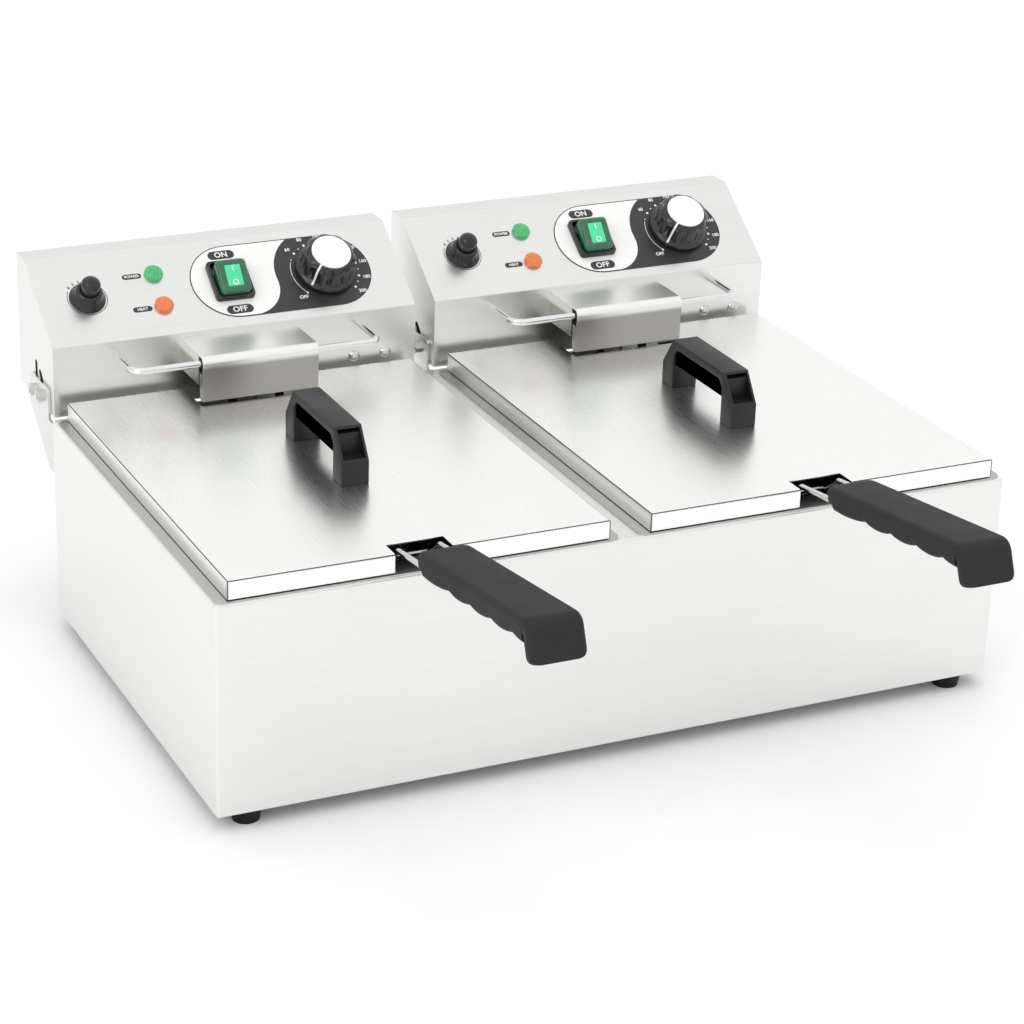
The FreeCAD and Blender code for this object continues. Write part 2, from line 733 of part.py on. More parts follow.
def make_hanger_rod(module_x):
    inside = panel_y + 6
    x0, x1 = module_x - rod_half_span, module_x + rod_half_span
    return tube([(x0, inside, rod_z), (x0, rod_y, rod_z), (x1, rod_y, rod_z), (x1, inside, rod_z)],
                rod_radius, rod_bend)


def element_side(side, module_x):
    """Half of the element's path: terminal, down into the oil, and its loops over the tank floor."""
    x = [module_x + side * (element_leg_offset + element_pitch * n) for n in range(3)]
    far = tank_front + element_far
    middle = far + element_middle_far
    near = element_y - element_near
    low, high = element_low_z, element_z
    return [(x[0], panel_y + element_tail, high), (x[0], element_y, high), (x[0], element_y, low),
            (x[0], middle, low), (x[1], middle, low), (x[1], near, low), (x[2], near, low),
            (x[2], far, low)]


def make_element(module_x):
    left = element_side(-1, module_x)
    right = element_side(1, module_x)
    return tube(left + right[::-1], element_radius, element_bend)


def make_element_plate(module_x):
    half_x, half_z = element_plate_half
    y = panel_y + sheet
    plate = rounded_box(module_x - half_x, module_x + half_x, y, y + element_plate_sheet,
                        element_z - half_z, element_z + half_z, 3, (0, 1, 0))
    return plate.cut(make_element(module_x)).cut(make_capillary(module_x, touch_gap))


def make_capillary(module_x, grow=0.0):
    """Thermostat capillary, from the thermostat's body down to its bulb above the element."""
    body = on_slope(Part.makeBox(1, 1, 1), knob_at[0], knob_at[1], 0).Placement.Base
    inward = V(0, math.sin(math.radians(slope_angle)), -math.cos(math.radians(slope_angle)))
    start = body + inward * (thermostat_depth - 3)
    x = module_x + start.x - thermostat_half[0] + 4
    bulb_z = element_low_z + element_radius + bulb_gap
    bulb_y = element_y - bulb_reach
    points = [(x, start.y, start.z), (x, start.y, element_z + 5),
              (module_x, panel_y + 1.5 * element_tail, element_z), (module_x, element_y, element_z),
              (module_x, element_y, bulb_z), (module_x, bulb_y, bulb_z)]
    capillary = tube(points, capillary_radius + grow, capillary_bend)
    bulb = cylinder(bulb_radius, (module_x, bulb_y, bulb_z), (module_x, bulb_y - bulb_length, bulb_z))
    return capillary.fuse(bulb)


def make_thermostat(module_x):
    half_x, half_y = thermostat_half
    body = rounded_box(-half_x, half_x, -half_y, half_y, -thermostat_depth, -sheet, 2)
    depth = spindle_depth + 1
    body = body.cut(Part.makeCylinder(spindle_radius + running_clearance, depth, V(0, 0, -depth)))
    body = on_slope(body, *knob_at, module_x)
    return body.fuse(make_capillary(module_x)).removeSplitter()


def make_cutout(module_x):
    body = Part.makeCylinder(11, 20, V(0, 0, -30)).fuse(Part.makeCylinder(6, 9 - sheet, V(0, 0, -10)))
    body = body.fuse(box(-14, 14, -6, 6, -2 - sheet, -sheet))
    body = body.cut(Part.makeCylinder(cutout_bore_radius, 13, V(0, 0, -12)))
    return on_slope(body.removeSplitter(), *reset_at, module_x)


def make_reset_skirt(module_x):
    bore = reset_button_radius + touch_gap
    skirt = spun([(bore, 0), (reset_skirt_radius, 0), (reset_skirt_radius, 1.2), (bore + 1.2, 7.5),
                  (bore, 7.5)])
    return on_slope(skirt, *reset_at, module_x)


def make_reset_button(module_x):
    straight = reset_height - reset_button_radius
    button = Part.makeCylinder(reset_button_radius, straight - 4.0, V(0, 0, 4.0))
    button = button.fuse(Part.makeSphere(reset_button_radius, V(0, 0, straight)))
    button = button.fuse(Part.makeCylinder(reset_stem_radius, 11, V(0, 0, -6)))
    return on_slope(button.removeSplitter(), *reset_at, module_x)


def make_lamp(place, module_x):
    lens = Part.makeCylinder(lamp_radius, lamp_height)
    lens = round_edges(lens, 1.4, lambda e: e.BoundBox.ZMin > lamp_height - 0.1)
    stem = Part.makeCylinder(lamp_stem_radius, lamp_stem_length, V(0, 0, -lamp_stem_length))
    return on_slope(lens.fuse(stem).removeSplitter(), *place, module_x)


def make_switch_housing(module_x):
    """Rocker switch body: a rim on the panel and a box behind it, open where the rocker tilts."""
    half_x, half_y = switch_box_half
    rim = rounded_box(-switch_width / 2, switch_width / 2, -switch_length / 2, switch_length / 2,
                      0, switch_rim, 3)
    rim = round_edges(rim, 1.2, lambda e: e.BoundBox.ZMin > switch_rim - 0.01)
    body = rim.fuse(box(-half_x, half_x, -half_y, half_y, -switch_depth, 0.5))
    side = rocker_half_width + rocker_side_clear
    well = rocker_half_length + rocker_well_clear
    body = body.cut(box(-side, side, -well, well, -rocker_well_depth, 1))
    mouth = rocker_half_length + rocker_sweep
    body = body.cut(box(-side, side, -mouth, mouth, 0, 9))
    bore = trunnion_radius + running_clearance
    body = body.cut(cylinder(bore, (-side - 0.6, 0, 0), (side + 0.6, 0, 0)))
    return on_slope(body.removeSplitter(), *switch_at, module_x)


def make_label(module_x):
    """Printed film with round ends, open round the switch's rim and the knob's spindle."""
    straight = label_length / 2 - label_radius
    film = box(-straight, straight, -label_radius, label_radius, 0, label_sheet)
    for side in (-1, 1):
        x = side * straight
        film = film.fuse(cylinder(label_radius, (x, 0, 0), (x, 0, label_sheet)))
    x, y = switch_at[0] - label_at[0], switch_at[1] - label_at[1]
    half_x, half_y = switch_width / 2 + label_gap, switch_length / 2 + label_gap
    film = film.cut(box(x - half_x, x + half_x, y - half_y, y + half_y, -1, 1))
    x, y = knob_at[0] - label_at[0], knob_at[1] - label_at[1]
    film = film.cut(cylinder(spindle_hole_radius, (x, y, -1), (x, y, 1)))
    return on_slope(film.removeSplitter(), *label_at, module_x)


def make_rocker(module_x):
    block = box(-rocker_half_width, rocker_half_width, -rocker_half_length, rocker_half_length,
                0.8, rocker_top)
    block = round_edges(block, 2.0, lambda e: e.BoundBox.ZMax > rocker_top - 0.01 or runs_along(e, (0, 0, 1)))
    hub = cylinder(3.0, (-rocker_half_width, 0, 0), (rocker_half_width, 0, 0))
    pin = rocker_half_width + 2 * rocker_side_clear
    rocker = block.fuse([hub, cylinder(trunnion_radius, (-pin, 0, 0), (pin, 0, 0))]).removeSplitter()
    raised = FreeCAD.Placement(V(0, 0, 0), FreeCAD.Rotation(V(1, 0, 0), rocker_tilt))
    rocker = on_slope(rocker, *switch_at, module_x)
    rocker.Placement = rocker.Placement.multiply(raised)
    return rocker


def make_knob(module_x):
    """Thermostat knob, its dial skirt and the spindle it turns on, as one piece."""
    low = knob_gap
    knob = spun([(0, low), (knob_skirt_radius - 0.6, low), (knob_skirt_radius, low + 0.8),
                 (knob_skirt_radius - 0.6, low + 5), (knob_body_radius + 0.6, low + 6.5),
                 (knob_body_radius, knob_height - 4), (knob_cap_radius + 0.8, knob_height - 0.6),
                 (knob_cap_radius, knob_height - 0.6), (knob_cap_radius, knob_height), (0, knob_height)])
    knob = knob.fuse(Part.makeCylinder(spindle_radius, spindle_depth + 2, V(0, 0, -spindle_depth)))
    return on_slope(knob.removeSplitter(), *knob_at, module_x)


def make_terminal_block(module_x):
    length, width, height = terminal_size
    x, y, z = module_x + terminal_at[0], panel_y + terminal_at[1], head_bottom + sheet
    block = box(x - length / 2, x + length / 2, y, y + width, z, z + height)
    for well in row_of(3, length / 3, x):
        block = block.cut(cylinder(terminal_well, (well, y + width / 2, z + 6),
                                   (well, y + width / 2, z + height + 1)))
    return block


# ---------------------------------------------------------------- head brackets
def make_bracket(module_x, side):
    """Plate from the casing's back up beside a control head, with a foot on the casing."""
    inner = module_x + side * (head_width / 2 + bracket_gap)
    outer = inner + side * bracket_sheet
    low, high = deck - bracket_drop, deck + bracket_top
    step = deck - bracket_step
    near = panel_y + bracket_front
    outline = [(rear, low), (rear, step), (near, step), (near, high), (panel_y + bracket_rear[0], high),
               (panel_y + bracket_rear[1], step), (near + 1, low)]
    plate = side_prism(outline, min(inner, outer), max(inner, outer))
    plate = round_edges(plate, 3.5, lambda e: runs_along(e, (1, 0, 0)) and e.BoundBox.ZMin > high - 1)
    foot_in = inner - side * bracket_foot
    foot = box(min(outer, foot_in), max(outer, foot_in), rear, rear + bracket_sheet, low, step)
    bracket = plate.fuse(foot)
    for y, z in bolt_places():
        bracket = bracket.cut(cylinder(hinge_bolt_radius, (inner - 3, y, z), (inner + 3, y, z)))
    return bracket.removeSplitter()


def make_hinge_bolts(module_x, side):
    wall = module_x + side * (head_width / 2 - sheet)
    outside = module_x + side * (head_width / 2 + bracket_gap + bracket_sheet)
    bolts = []
    for y, z in bolt_places():
        tip = outside + side * (bolt_nut_height + bolt_end)
        shank = cylinder(hinge_bolt_radius, (wall - side * 0.1, y, z), (tip, y, z))
        nut = hexagon(bolt_head_radius, lambda a, b: V(outside, y + a, z + b))
        nut = nut.extrude(V(side * bolt_nut_height, 0, 0))
        head = cylinder(bolt_head_radius, (wall, y, z), (wall - side * bolt_head_height, y, z))
        bolts.append(shank.fuse([nut, head]).removeSplitter())
    return bolts


# ---------------------------------------------------------------- build everything
def build():
    os.makedirs("parts", exist_ok=True)
    save("casing_shell", make_casing_shell())
    save("rear_panel", make_rear_panel())
    save("base_plate", make_base_plate())
    save("feet", make_feet())
    sides = [(x, side) for x in modules.values() for side in (-1, 1)]
    save("hinge_brackets", [make_bracket(x, side) for x, side in sides])
    save("hinge_bolts", [bolt for x, side in sides for bolt in make_hinge_bolts(x, side)])
    for which, x in modules.items():
        save("tank_" + which, make_tank(x))
        save("lid_" + which, make_lid(x))
        save("lid_handle_" + which, make_lid_handle(x))
        save("lid_screws_" + which, make_lid_screws(x))
        save("basket_" + which, make_basket(x))
        save("basket_frame_" + which, make_basket_frame(x))
        save("basket_grip_" + which, make_grip(x))
        save("head_cover_" + which, make_head_cover(x))
        save("head_base_" + which, make_head_base(x))
        save("head_rear_cover_" + which, make_head_rear(x))
        save("cable_gland_" + which, make_gland(x))
        save("terminal_block_" + which, make_terminal_block(x))
        save("element_guard_" + which, make_guard(x))
        save("hanger_rod_" + which, make_hanger_rod(x))
        save("heating_element_" + which, make_element(x))
        save("element_plate_" + which, make_element_plate(x))
        save("thermostat_" + which, make_thermostat(x))
        save("thermal_cutout_" + which, make_cutout(x))
        save("reset_skirt_" + which, make_reset_skirt(x))
        save("reset_button_" + which, make_reset_button(x))
        save("power_lamp_" + which, make_lamp(power_lamp_at, x))
        save("heat_lamp_" + which, make_lamp(heat_lamp_at, x))
        save("switch_housing_" + which, make_switch_housing(x))
        save("rocker_" + which, make_rocker(x))
        save("control_label_" + which, make_label(x))
        save("thermostat_knob_" + which, make_knob(x))
        save("panel_screws_" + which, make_panel_screws(x))


build()
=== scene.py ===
import json
import math

import bmesh
import bpy
from mathutils import Matrix, Vector


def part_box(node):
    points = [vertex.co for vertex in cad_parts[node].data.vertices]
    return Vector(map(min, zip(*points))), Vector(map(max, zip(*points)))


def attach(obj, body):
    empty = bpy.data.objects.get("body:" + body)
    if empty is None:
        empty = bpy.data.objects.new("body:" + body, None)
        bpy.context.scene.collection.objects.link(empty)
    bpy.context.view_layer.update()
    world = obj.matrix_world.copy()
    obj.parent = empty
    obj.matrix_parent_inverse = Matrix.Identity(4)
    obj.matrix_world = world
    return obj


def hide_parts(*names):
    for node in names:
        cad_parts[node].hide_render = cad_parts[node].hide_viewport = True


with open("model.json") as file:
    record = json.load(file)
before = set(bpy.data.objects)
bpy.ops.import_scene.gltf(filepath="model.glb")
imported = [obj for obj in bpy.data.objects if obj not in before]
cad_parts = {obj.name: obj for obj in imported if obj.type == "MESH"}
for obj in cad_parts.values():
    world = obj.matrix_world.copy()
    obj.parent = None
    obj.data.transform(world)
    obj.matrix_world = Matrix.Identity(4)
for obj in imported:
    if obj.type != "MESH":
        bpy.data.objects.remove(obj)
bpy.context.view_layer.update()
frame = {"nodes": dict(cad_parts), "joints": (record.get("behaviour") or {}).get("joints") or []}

mm = 0.001
NODES = frame["nodes"]
JOINTS = {joint["name"]: joint for joint in frame["joints"]}
SIDES = ("left", "right")


# ---------------------------------------------------------------- materials
def hex_colour(code):
    """An sRGB hex colour as the linear colour that a shader wants."""
    values = [int(code[n:n + 2], 16) / 255 for n in (1, 3, 5)]
    linear = [v / 12.92 if v <= 0.04045 else ((v + 0.055) / 1.055) ** 2.4 for v in values]
    return (*linear, 1.0)


def add(tree, kind, inputs=None, **settings):
    """Add a shader node.

    settings are the node's own choices; inputs set or link its sockets, by name or number.
    """
    node = tree.nodes.new("ShaderNode" + kind)
    for name, value in settings.items():
        setattr(node, name, value)
    for socket, value in (inputs or {}).items():
        if isinstance(value, bpy.types.NodeSocket):
            tree.links.new(value, node.inputs[socket])
        else:
            node.inputs[socket].default_value = value
    return node


def start_material(name, **sockets):
    """A new material with its shader's own sockets set; also gives the object's own coordinates."""
    material = bpy.data.materials.new(name)
    material.use_nodes = True
    tree = material.node_tree
    shader = tree.nodes["Principled BSDF"]
    for socket, value in sockets.items():
        shader.inputs[socket.replace("_", " ")].default_value = value
    return material, tree, shader, add(tree, "TexCoord").outputs["Object"]


def grain(tree, place, sizes_mm, detail=2.0):
    """Noise whose features have a size in millimetres along X, Y and Z."""
    scales = [1 / (size * mm) for size in sizes_mm]
    mapping = add(tree, "Mapping", {"Vector": place, "Scale": scales})
    noise = add(tree, "TexNoise", {"Vector": mapping.outputs[0], "Scale": 1.0, "Detail": detail})
    return noise.outputs["Fac"]


MIX_A, MIX_B, MIX_RESULT = 6, 7, 2      # the Mix node's colour sockets
PATTERN_LOW, PATTERN_HIGH = 0.3, 0.7    # the part of a noise's range that it mostly stays in


def dress(tree, shader, pattern, dark, light, rough, smooth, relief=None, depth_mm=0.0,
          strength=0.5):
    """Colour and roughness follow one pattern; a bump of a depth in millimetres follows another."""
    colour = add(tree, "Mix", {"Factor": pattern, MIX_A: hex_colour(dark),
                               MIX_B: hex_colour(light)}, data_type="RGBA").outputs[MIX_RESULT]
    tree.links.new(colour, shader.inputs["Base Color"])
    gloss = add(tree, "MapRange", {"Value": pattern, "From Min": PATTERN_LOW,
                                   "From Max": PATTERN_HIGH, "To Min": rough, "To Max": smooth})
    tree.links.new(gloss.outputs[0], shader.inputs["Roughness"])
    if relief:
        bump = add(tree, "Bump", {"Height": relief, "Strength": strength,
                                  "Distance": depth_mm * mm})
        tree.links.new(bump.outputs[0], shader.inputs["Normal"])
    return colour


CLOUD_MM, CLOUD_SHARE = 70, 0.35        # size and weight of the steel's faint cloudiness
GLOSS_SWING = 0.012                     # how far the brush lines move the steel's roughness


def brushed_stainless(name, dark, light, roughness, brush_axis, line_mm=1.2, streak_mm=60,
                      dulled=None, line_depth_mm=0.003):
    """Stainless sheet rubbed along one axis: fine lines with faint cloudiness over them.

    dulled takes the tree and the object's coordinates and gives a mask and a colour
    of painted shade: where the mask is 1, the steel is multiplied by the colour.
    """
    material, tree, shader, place = start_material(name, Metallic=1.0)
    sizes = [streak_mm if axis == brush_axis else line_mm for axis in "XYZ"]
    lines = grain(tree, place, sizes, 3.0)
    clouds = grain(tree, place, (CLOUD_MM, CLOUD_MM, CLOUD_MM))
    tone = add(tree, "Math", {0: clouds, 1: CLOUD_SHARE, 2: lines},
               operation="MULTIPLY_ADD").outputs[0]
    tone = add(tree, "Math", {0: tone, 1: CLOUD_SHARE / 2}, operation="SUBTRACT").outputs[0]
    colour = dress(tree, shader, tone, dark, light, roughness + GLOSS_SWING,
                   roughness - GLOSS_SWING, lines, line_depth_mm, 0.2)
    if dulled:
        mask, tint = dulled(tree, place)
        tinted = add(tree, "Mix", {"Factor": mask, MIX_A: colour, MIX_B: hex_colour(tint)},
                     data_type="RGBA", blend_type="MULTIPLY")
        tree.links.new(tinted.outputs[MIX_RESULT], shader.inputs["Base Color"])
    return material


def shade_below_guard_lip(tree, place):
    """Guard: from its lip's lower edge down, the steel is painted darker and yellower, as painted
    shade.

    The two depths are millimetres below the guard's top, where the painted shade starts and is
    full.
    """
    start, full = 6, 9
    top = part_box("element_guard_left")[1].z
    height = add(tree, "SeparateXYZ", {"Vector": place}).outputs["Z"]
    # Ramp of the painted shade: none above the start depth, full below the full depth.
    heat = add(tree, "MapRange", {"Value": height, "From Min": top - start * mm,
                                  "From Max": top - full * mm})
    return heat.outputs[0], "#B2B0AC"


def fold_lines(tree, place):
    """Lid: painted shade in a hairline where the sheet folds over and along each folded corner's
    seam.

    Both are colour only: the shape has no gap there.
    """
    fold_depth, fold_half, seam_half = 0.55, 0.32, 0.75

    def near(where, edge, reach):
        return add(tree, "Math", {0: where, 1: edge, 2: reach * mm},
                   operation="COMPARE").outputs[0]

    def either(first, second):
        return add(tree, "Math", {0: first, 1: second}, operation="MAXIMUM").outputs[0]

    low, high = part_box("lid_right")
    middle, half = (low + high) / 2, (high - low) / 2
    across, back, up = add(tree, "SeparateXYZ", {"Vector": place}).outputs
    fold = near(up, high.z - fold_depth * mm, fold_half)
    across = add(tree, "Math", {0: across}, operation="ABSOLUTE").outputs[0]
    sides = either(near(across, middle.x + half.x, seam_half),
                   near(across, middle.x - half.x, seam_half))
    ends = either(near(back, middle.y - half.y, seam_half),
                  near(back, middle.y + half.y, seam_half))
    seam = add(tree, "Math", {0: sides, 1: ends}, operation="MULTIPLY").outputs[0]
    return either(seam, fold), "#6A6A6A"


def bright_metal(name, dark, light, roughness):
    """Polished or plated metal: mirror-like, with the faint mottling of handled metal."""
    material, tree, shader, place = start_material(name, Metallic=1.0)
    mottling = grain(tree, place, (5.5, 5.5, 5.5), 4.0)
    dress(tree, shader, mottling, dark, light, roughness, roughness + 0.08)
    return material


def moulded_plastic(name, dark, light, roughness, grit_mm, grit_depth_mm, coat=0.0, specular=0.5):
    """Injection-moulded plastic or rubber: even colour with a fine spark-eroded grit."""
    material, tree, shader, place = start_material(
        name, Specular_IOR_Level=specular, Coat_Weight=coat, Coat_Roughness=0.12)
    wear = grain(tree, place, (25, 25, 25), 3.0)
    grit = grain(tree, place, (grit_mm, grit_mm, grit_mm))
    dress(tree, shader, wear, dark, light, roughness - 0.05, roughness + 0.05, grit, grit_depth_mm)
    return material


def clear_tinted(name, dark, light, glow, glow_strength, prism_mm):
    """Coloured clear plastic: an opaque gloss, mottled as by prisms inside.

    A faint glow stands in for the light that the real one lets through.
    """
    material, tree, shader, place = start_material(
        name, IOR=1.58, Coat_Weight=0.6, Coat_Roughness=0.05,
        Emission_Color=hex_colour(glow), Emission_Strength=glow_strength)
    prisms = grain(tree, place, (prism_mm, prism_mm * 3, prism_mm * 3), 1.0)
    dress(tree, shader, prisms, dark, light, 0.10, 0.15)
    return material


def printed_ink(name, dark, light, roughness):
    """Screen-printed ink or film: one even tone with a slight orange-peel gloss."""
    material, tree, shader, place = start_material(name, IOR=1.5)
    peel = grain(tree, place, (2, 2, 2))
    dress(tree, shader, peel, dark, light, roughness - 0.04, roughness + 0.04)
    return material


# Stainless sheets, satin-brushed: pale neutral grey whose fine parallel lines smear the
# reflections. Real brush lines are about 0.1 mm apart; they are drawn about ten times as coarse,
# so that they show.
CASING = brushed_stainless("satin_brushed_casing_steel", "#E9E9E7", "#EFEFED", 0.38, "X")
HEAD = brushed_stainless("satin_brushed_head_steel", "#E2E2E0", "#ECECEA", 0.30, "X")
# The lids are brushed front to back and more shallowly, so they mirror the heads more clearly.
# Their fold lines and corner seams are painted shade, from fold_lines.
LID = brushed_stainless("fine_brushed_lid_steel", "#F8F8F6", "#FDFDFB", 0.28, "Y", streak_mm=50,
                        dulled=fold_lines, line_depth_mm=0.0012)
# The element guards stand over hot oil; bright above, and below their lip painted shade, a darker
# and yellower grey.
GUARD = brushed_stainless("heat_dulled_guard_steel", "#EEEEEC", "#F8F8F6", 0.34, "X",
                          streak_mm=40, dulled=shade_below_guard_lip)
# The brackets are the same steel, a little darker and shinier.
BRACKET = brushed_stainless("brushed_bracket_steel", "#D4D4D2", "#E6E6E4", 0.26, "X", streak_mm=40)
# Deep-drawn stainless tanks keep the press's upright draw lines. Their grey is darker than the
# sheets, partly the darker steel of a used tank and partly painted shade for its shadowed inside.
TANK = brushed_stainless("drawn_tank_steel", "#B0B0AE", "#C4C4C2", 0.30, "Z", 1.5, 30)
# Galvanised sheet: dull blue-grey with the cloudy spangle of hot zinc.
ZINC = brushed_stainless("galvanised_sheet", "#A8ABAD", "#C4C7C9", 0.45, "X", 6.0, 9.0)
# Polished stainless rod: a clear dark-and-light mirror line along its length.
ROD = bright_metal("polished_stainless_rod", "#DCDCDC", "#F2F2F2", 0.12)
# Nickel-plated steel: bright screws and nuts, and slightly softer, warmer basket wires.
SCREW = bright_metal("nickel_plated_screws", "#C8C8C8", "#E6E6E6", 0.14)
WIRE = bright_metal("nickel_plated_wire", "#C6C6C4", "#E2E2E0", 0.16)
# Sheath of the heating element: dark brownish grey from its own heat, with a dull shine.
ELEMENT = bright_metal("heat_tinted_element_sheath", "#5A5450", "#857C74", 0.34)
# Soft thermoplastic rubber of the grips: charcoal, nearly matt, with a fine eroded grain.
SOFT_GRIP = moulded_plastic("soft_moulded_grip_rubber", "#262626", "#2E2E2E", 0.62, 0.9, 0.02,
                            specular=0.22)
# Phenolic of the lid handles: black with a half-gloss that shows soft highlights on its edges.
BLACK = moulded_plastic("moulded_phenolic", "#161616", "#1D1D1D", 0.45, 0.8, 0.015,
                        specular=0.45)
# Glossy ABS of the knobs and switch bezels: deep black with sharp small highlights.
KNOB = moulded_plastic("glossy_moulded_abs", "#0E0E0E", "#151515", 0.22, 2.5, 0.01, coat=0.4)
# Vulcanised rubber of the feet: dull black that hardly shines.
RUBBER = moulded_plastic("vulcanised_foot_rubber", "#101010", "#181818", 0.55, 1.0, 0.03,
                         specular=0.25)
# Silicone boot over the reset button: black with an oily gloss.
BOOT_RUBBER = moulded_plastic("moulded_silicone_boot", "#0D0D0D", "#151515", 0.28, 2.0, 0.01,
                              coat=0.2)
# Natural nylon of the terminal block: milky off-white with a waxy sheen.
NYLON = moulded_plastic("natural_moulded_nylon", "#D8D4C4", "#E6E2D4", 0.45, 1.0, 0.02)
# Thermoset of the thermostat and cut-out bodies: dry tan, like pressed stone.
THERMOSET = moulded_plastic("pressed_thermoset", "#8A7F6A", "#A0937C", 0.5, 1.0, 0.02)
# Dyed polycarbonate of the lamps' lenses: green and orange that seem faintly lit from inside.
GREEN_LENS = clear_tinted("green_polycarbonate_lens", "#14803C", "#46CE7E", "#2DBE6C", 0.03, 1.1)
ORANGE_LENS = clear_tinted("orange_polycarbonate_lens", "#C24E0C", "#F58A38", "#F07A1E", 0.03,
                           1.1)
# Green silicone boot of the rocker, dark green, and the paler lit rocker seen through its middle.
GREEN_ROCKER = clear_tinted("green_silicone_boot", "#0A4A30", "#0E6644", "#0A5A3A", 0.04, 3.0)
GREEN_WINDOW = clear_tinted("lit_green_polycarbonate", "#2FBF87", "#3BD298", "#22B878", 0.25, 3.0)
# White ABS of the knobs' caps and pointers: clean white with a soft shine.
WHITE_CAP = moulded_plastic("white_moulded_abs", "#F2F2F0", "#FAFAF8", 0.35, 1.5, 0.01)
# Screen-printed inks of the labels: flat white and soft black, slightly satin.
WHITE_INK = printed_ink("white_screen_ink", "#F4F4F2", "#ECECEA", 0.4)
BLACK_INK = printed_ink("black_screen_ink", "#2B2B2B", "#333333", 0.35)

BY_NAME = {"casing_shell": CASING, "rear_panel": CASING, "base_plate": ZINC, "feet": RUBBER,
           "hinge_brackets": BRACKET, "hinge_bolts": SCREW}
BY_PART = {"tank": TANK, "lid": LID, "lid_handle": BLACK, "lid_screws": SCREW, "basket": WIRE,
           "basket_frame": WIRE, "basket_grip": SOFT_GRIP, "head_cover": HEAD, "head_base": ZINC,
           "head_rear_cover": HEAD, "cable_gland": BLACK, "terminal_block": NYLON,
           "element_guard": GUARD, "hanger_rod": ROD, "heating_element": ELEMENT,
           "element_plate": GUARD, "thermostat": THERMOSET, "thermal_cutout": THERMOSET,
           "reset_skirt": BOOT_RUBBER, "reset_button": BOOT_RUBBER, "power_lamp": GREEN_LENS,
           "heat_lamp": ORANGE_LENS, "switch_housing": KNOB, "rocker": GREEN_ROCKER,
           "thermostat_knob": KNOB, "panel_screws": SCREW, "control_label": BLACK_INK}
for node_name, node in NODES.items():
    part = node_name.rsplit("_", 1)[0]
    material = BY_NAME.get(node_name) or BY_PART[part]
    node.data.materials.clear()
    node.data.materials.append(material)


# ---------------------------------------------------------------- mesh work
def loft(bm, rings):
    """A closed skin through rings of points, each ring extruded from the one before."""
    ring = [bm.verts.new(point) for point in rings[0]]
    edges = [bm.edges.new(pair) for pair in zip(ring, ring[1:] + ring[:1])]
    bm.faces.new(ring)
    for points in rings[1:]:
        made = bmesh.ops.extrude_edge_only(bm, edges=edges)["geom"]
        fresh = {vert for vert in made if isinstance(vert, bmesh.types.BMVert)}
        ring = [next(edge.other_vert(vert) for edge in vert.link_edges
                     if edge.other_vert(vert) in fresh) for vert in ring]
        for vert, point in zip(ring, points):
            vert.co = point
        edges = [bm.edges.get(pair) for pair in zip(ring, ring[1:] + ring[:1])]
    bm.faces.new(ring)


def extrude_flat(bm, points, move):
    """A flat face through points in metres, extruded by a vector into a plate."""
    face = bm.faces.new([bm.verts.new(point) for point in points])
    raised = bmesh.ops.extrude_face_region(bm, geom=[face])["geom"]
    bmesh.ops.translate(bm, vec=move,
                        verts=[v for v in raised if isinstance(v, bmesh.types.BMVert)])


def rounded_rectangle(half_x, half_y, radius, steps=5):
    """Points round a rectangle with round corners, anticlockwise."""
    radius = min(radius, half_x, half_y)
    points = []
    for corner, (sx, sy) in enumerate(((1, 1), (-1, 1), (-1, -1), (1, -1))):
        for step in range(steps + 1):
            angle = math.radians(90 * corner + 90 * step / steps)
            points.append(Vector((sx * (half_x - radius) + radius * math.cos(angle),
                                  sy * (half_y - radius) + radius * math.sin(angle), 0)))
    return points


def turned(outline, count=64):
    """A closed solid of revolution about Z through an outline of (radius, z) in millimetres."""
    bm = bmesh.new()
    verts = [bm.verts.new((radius * mm, 0, z * mm)) for radius, z in outline]
    edges = [bm.edges.new(pair) for pair in zip(verts, verts[1:])]
    bmesh.ops.spin(bm, geom=verts + edges, axis=(0, 0, 1), cent=(0, 0, 0), angle=math.tau,
                   steps=count, use_merge=True)
    bmesh.ops.remove_doubles(bm, verts=bm.verts, dist=0.001 * mm)
    bmesh.ops.holes_fill(bm, edges=bm.edges, sides=count + 1)
    return bm


def stacked(levels):
    """A closed solid through rounded rectangles: (half x, half y, corner radius, z) in mm."""
    bm = bmesh.new()
    loft(bm, [[point * mm + Vector((0, 0, z * mm)) for point in rounded_rectangle(x, y, radius)]
              for x, y, radius, z in levels])
    return bm


def swept_wire(bm, points, radius, sides=8):
    """A round wire through points, its rings turned to follow the path."""
    rings = []
    normal = None
    for n, point in enumerate(points):
        before, after = points[max(n - 1, 0)], points[min(n + 1, len(points) - 1)]
        along = (after - before).normalized()
        if normal is None:
            normal = along.orthogonal().normalized()
        normal = (normal - along * normal.dot(along)).normalized()
        other = along.cross(normal)
        rings.append([point + normal * (radius * math.cos(math.tau * k / sides))
                      + other * (radius * math.sin(math.tau * k / sides)) for k in range(sides)])
    loft(bm, rings)


def soften(bm, width, segments):
    """Bevel the edges that turn more than 30 degrees."""
    edges = [edge for edge in bm.edges
             if len(edge.link_faces) == 2 and edge.calc_face_angle(0) > math.radians(30)]
    bmesh.ops.bevel(bm, geom=edges, offset=width, segments=segments, profile=0.5, affect="EDGES",
                    clamp_overlap=True, material=-1)


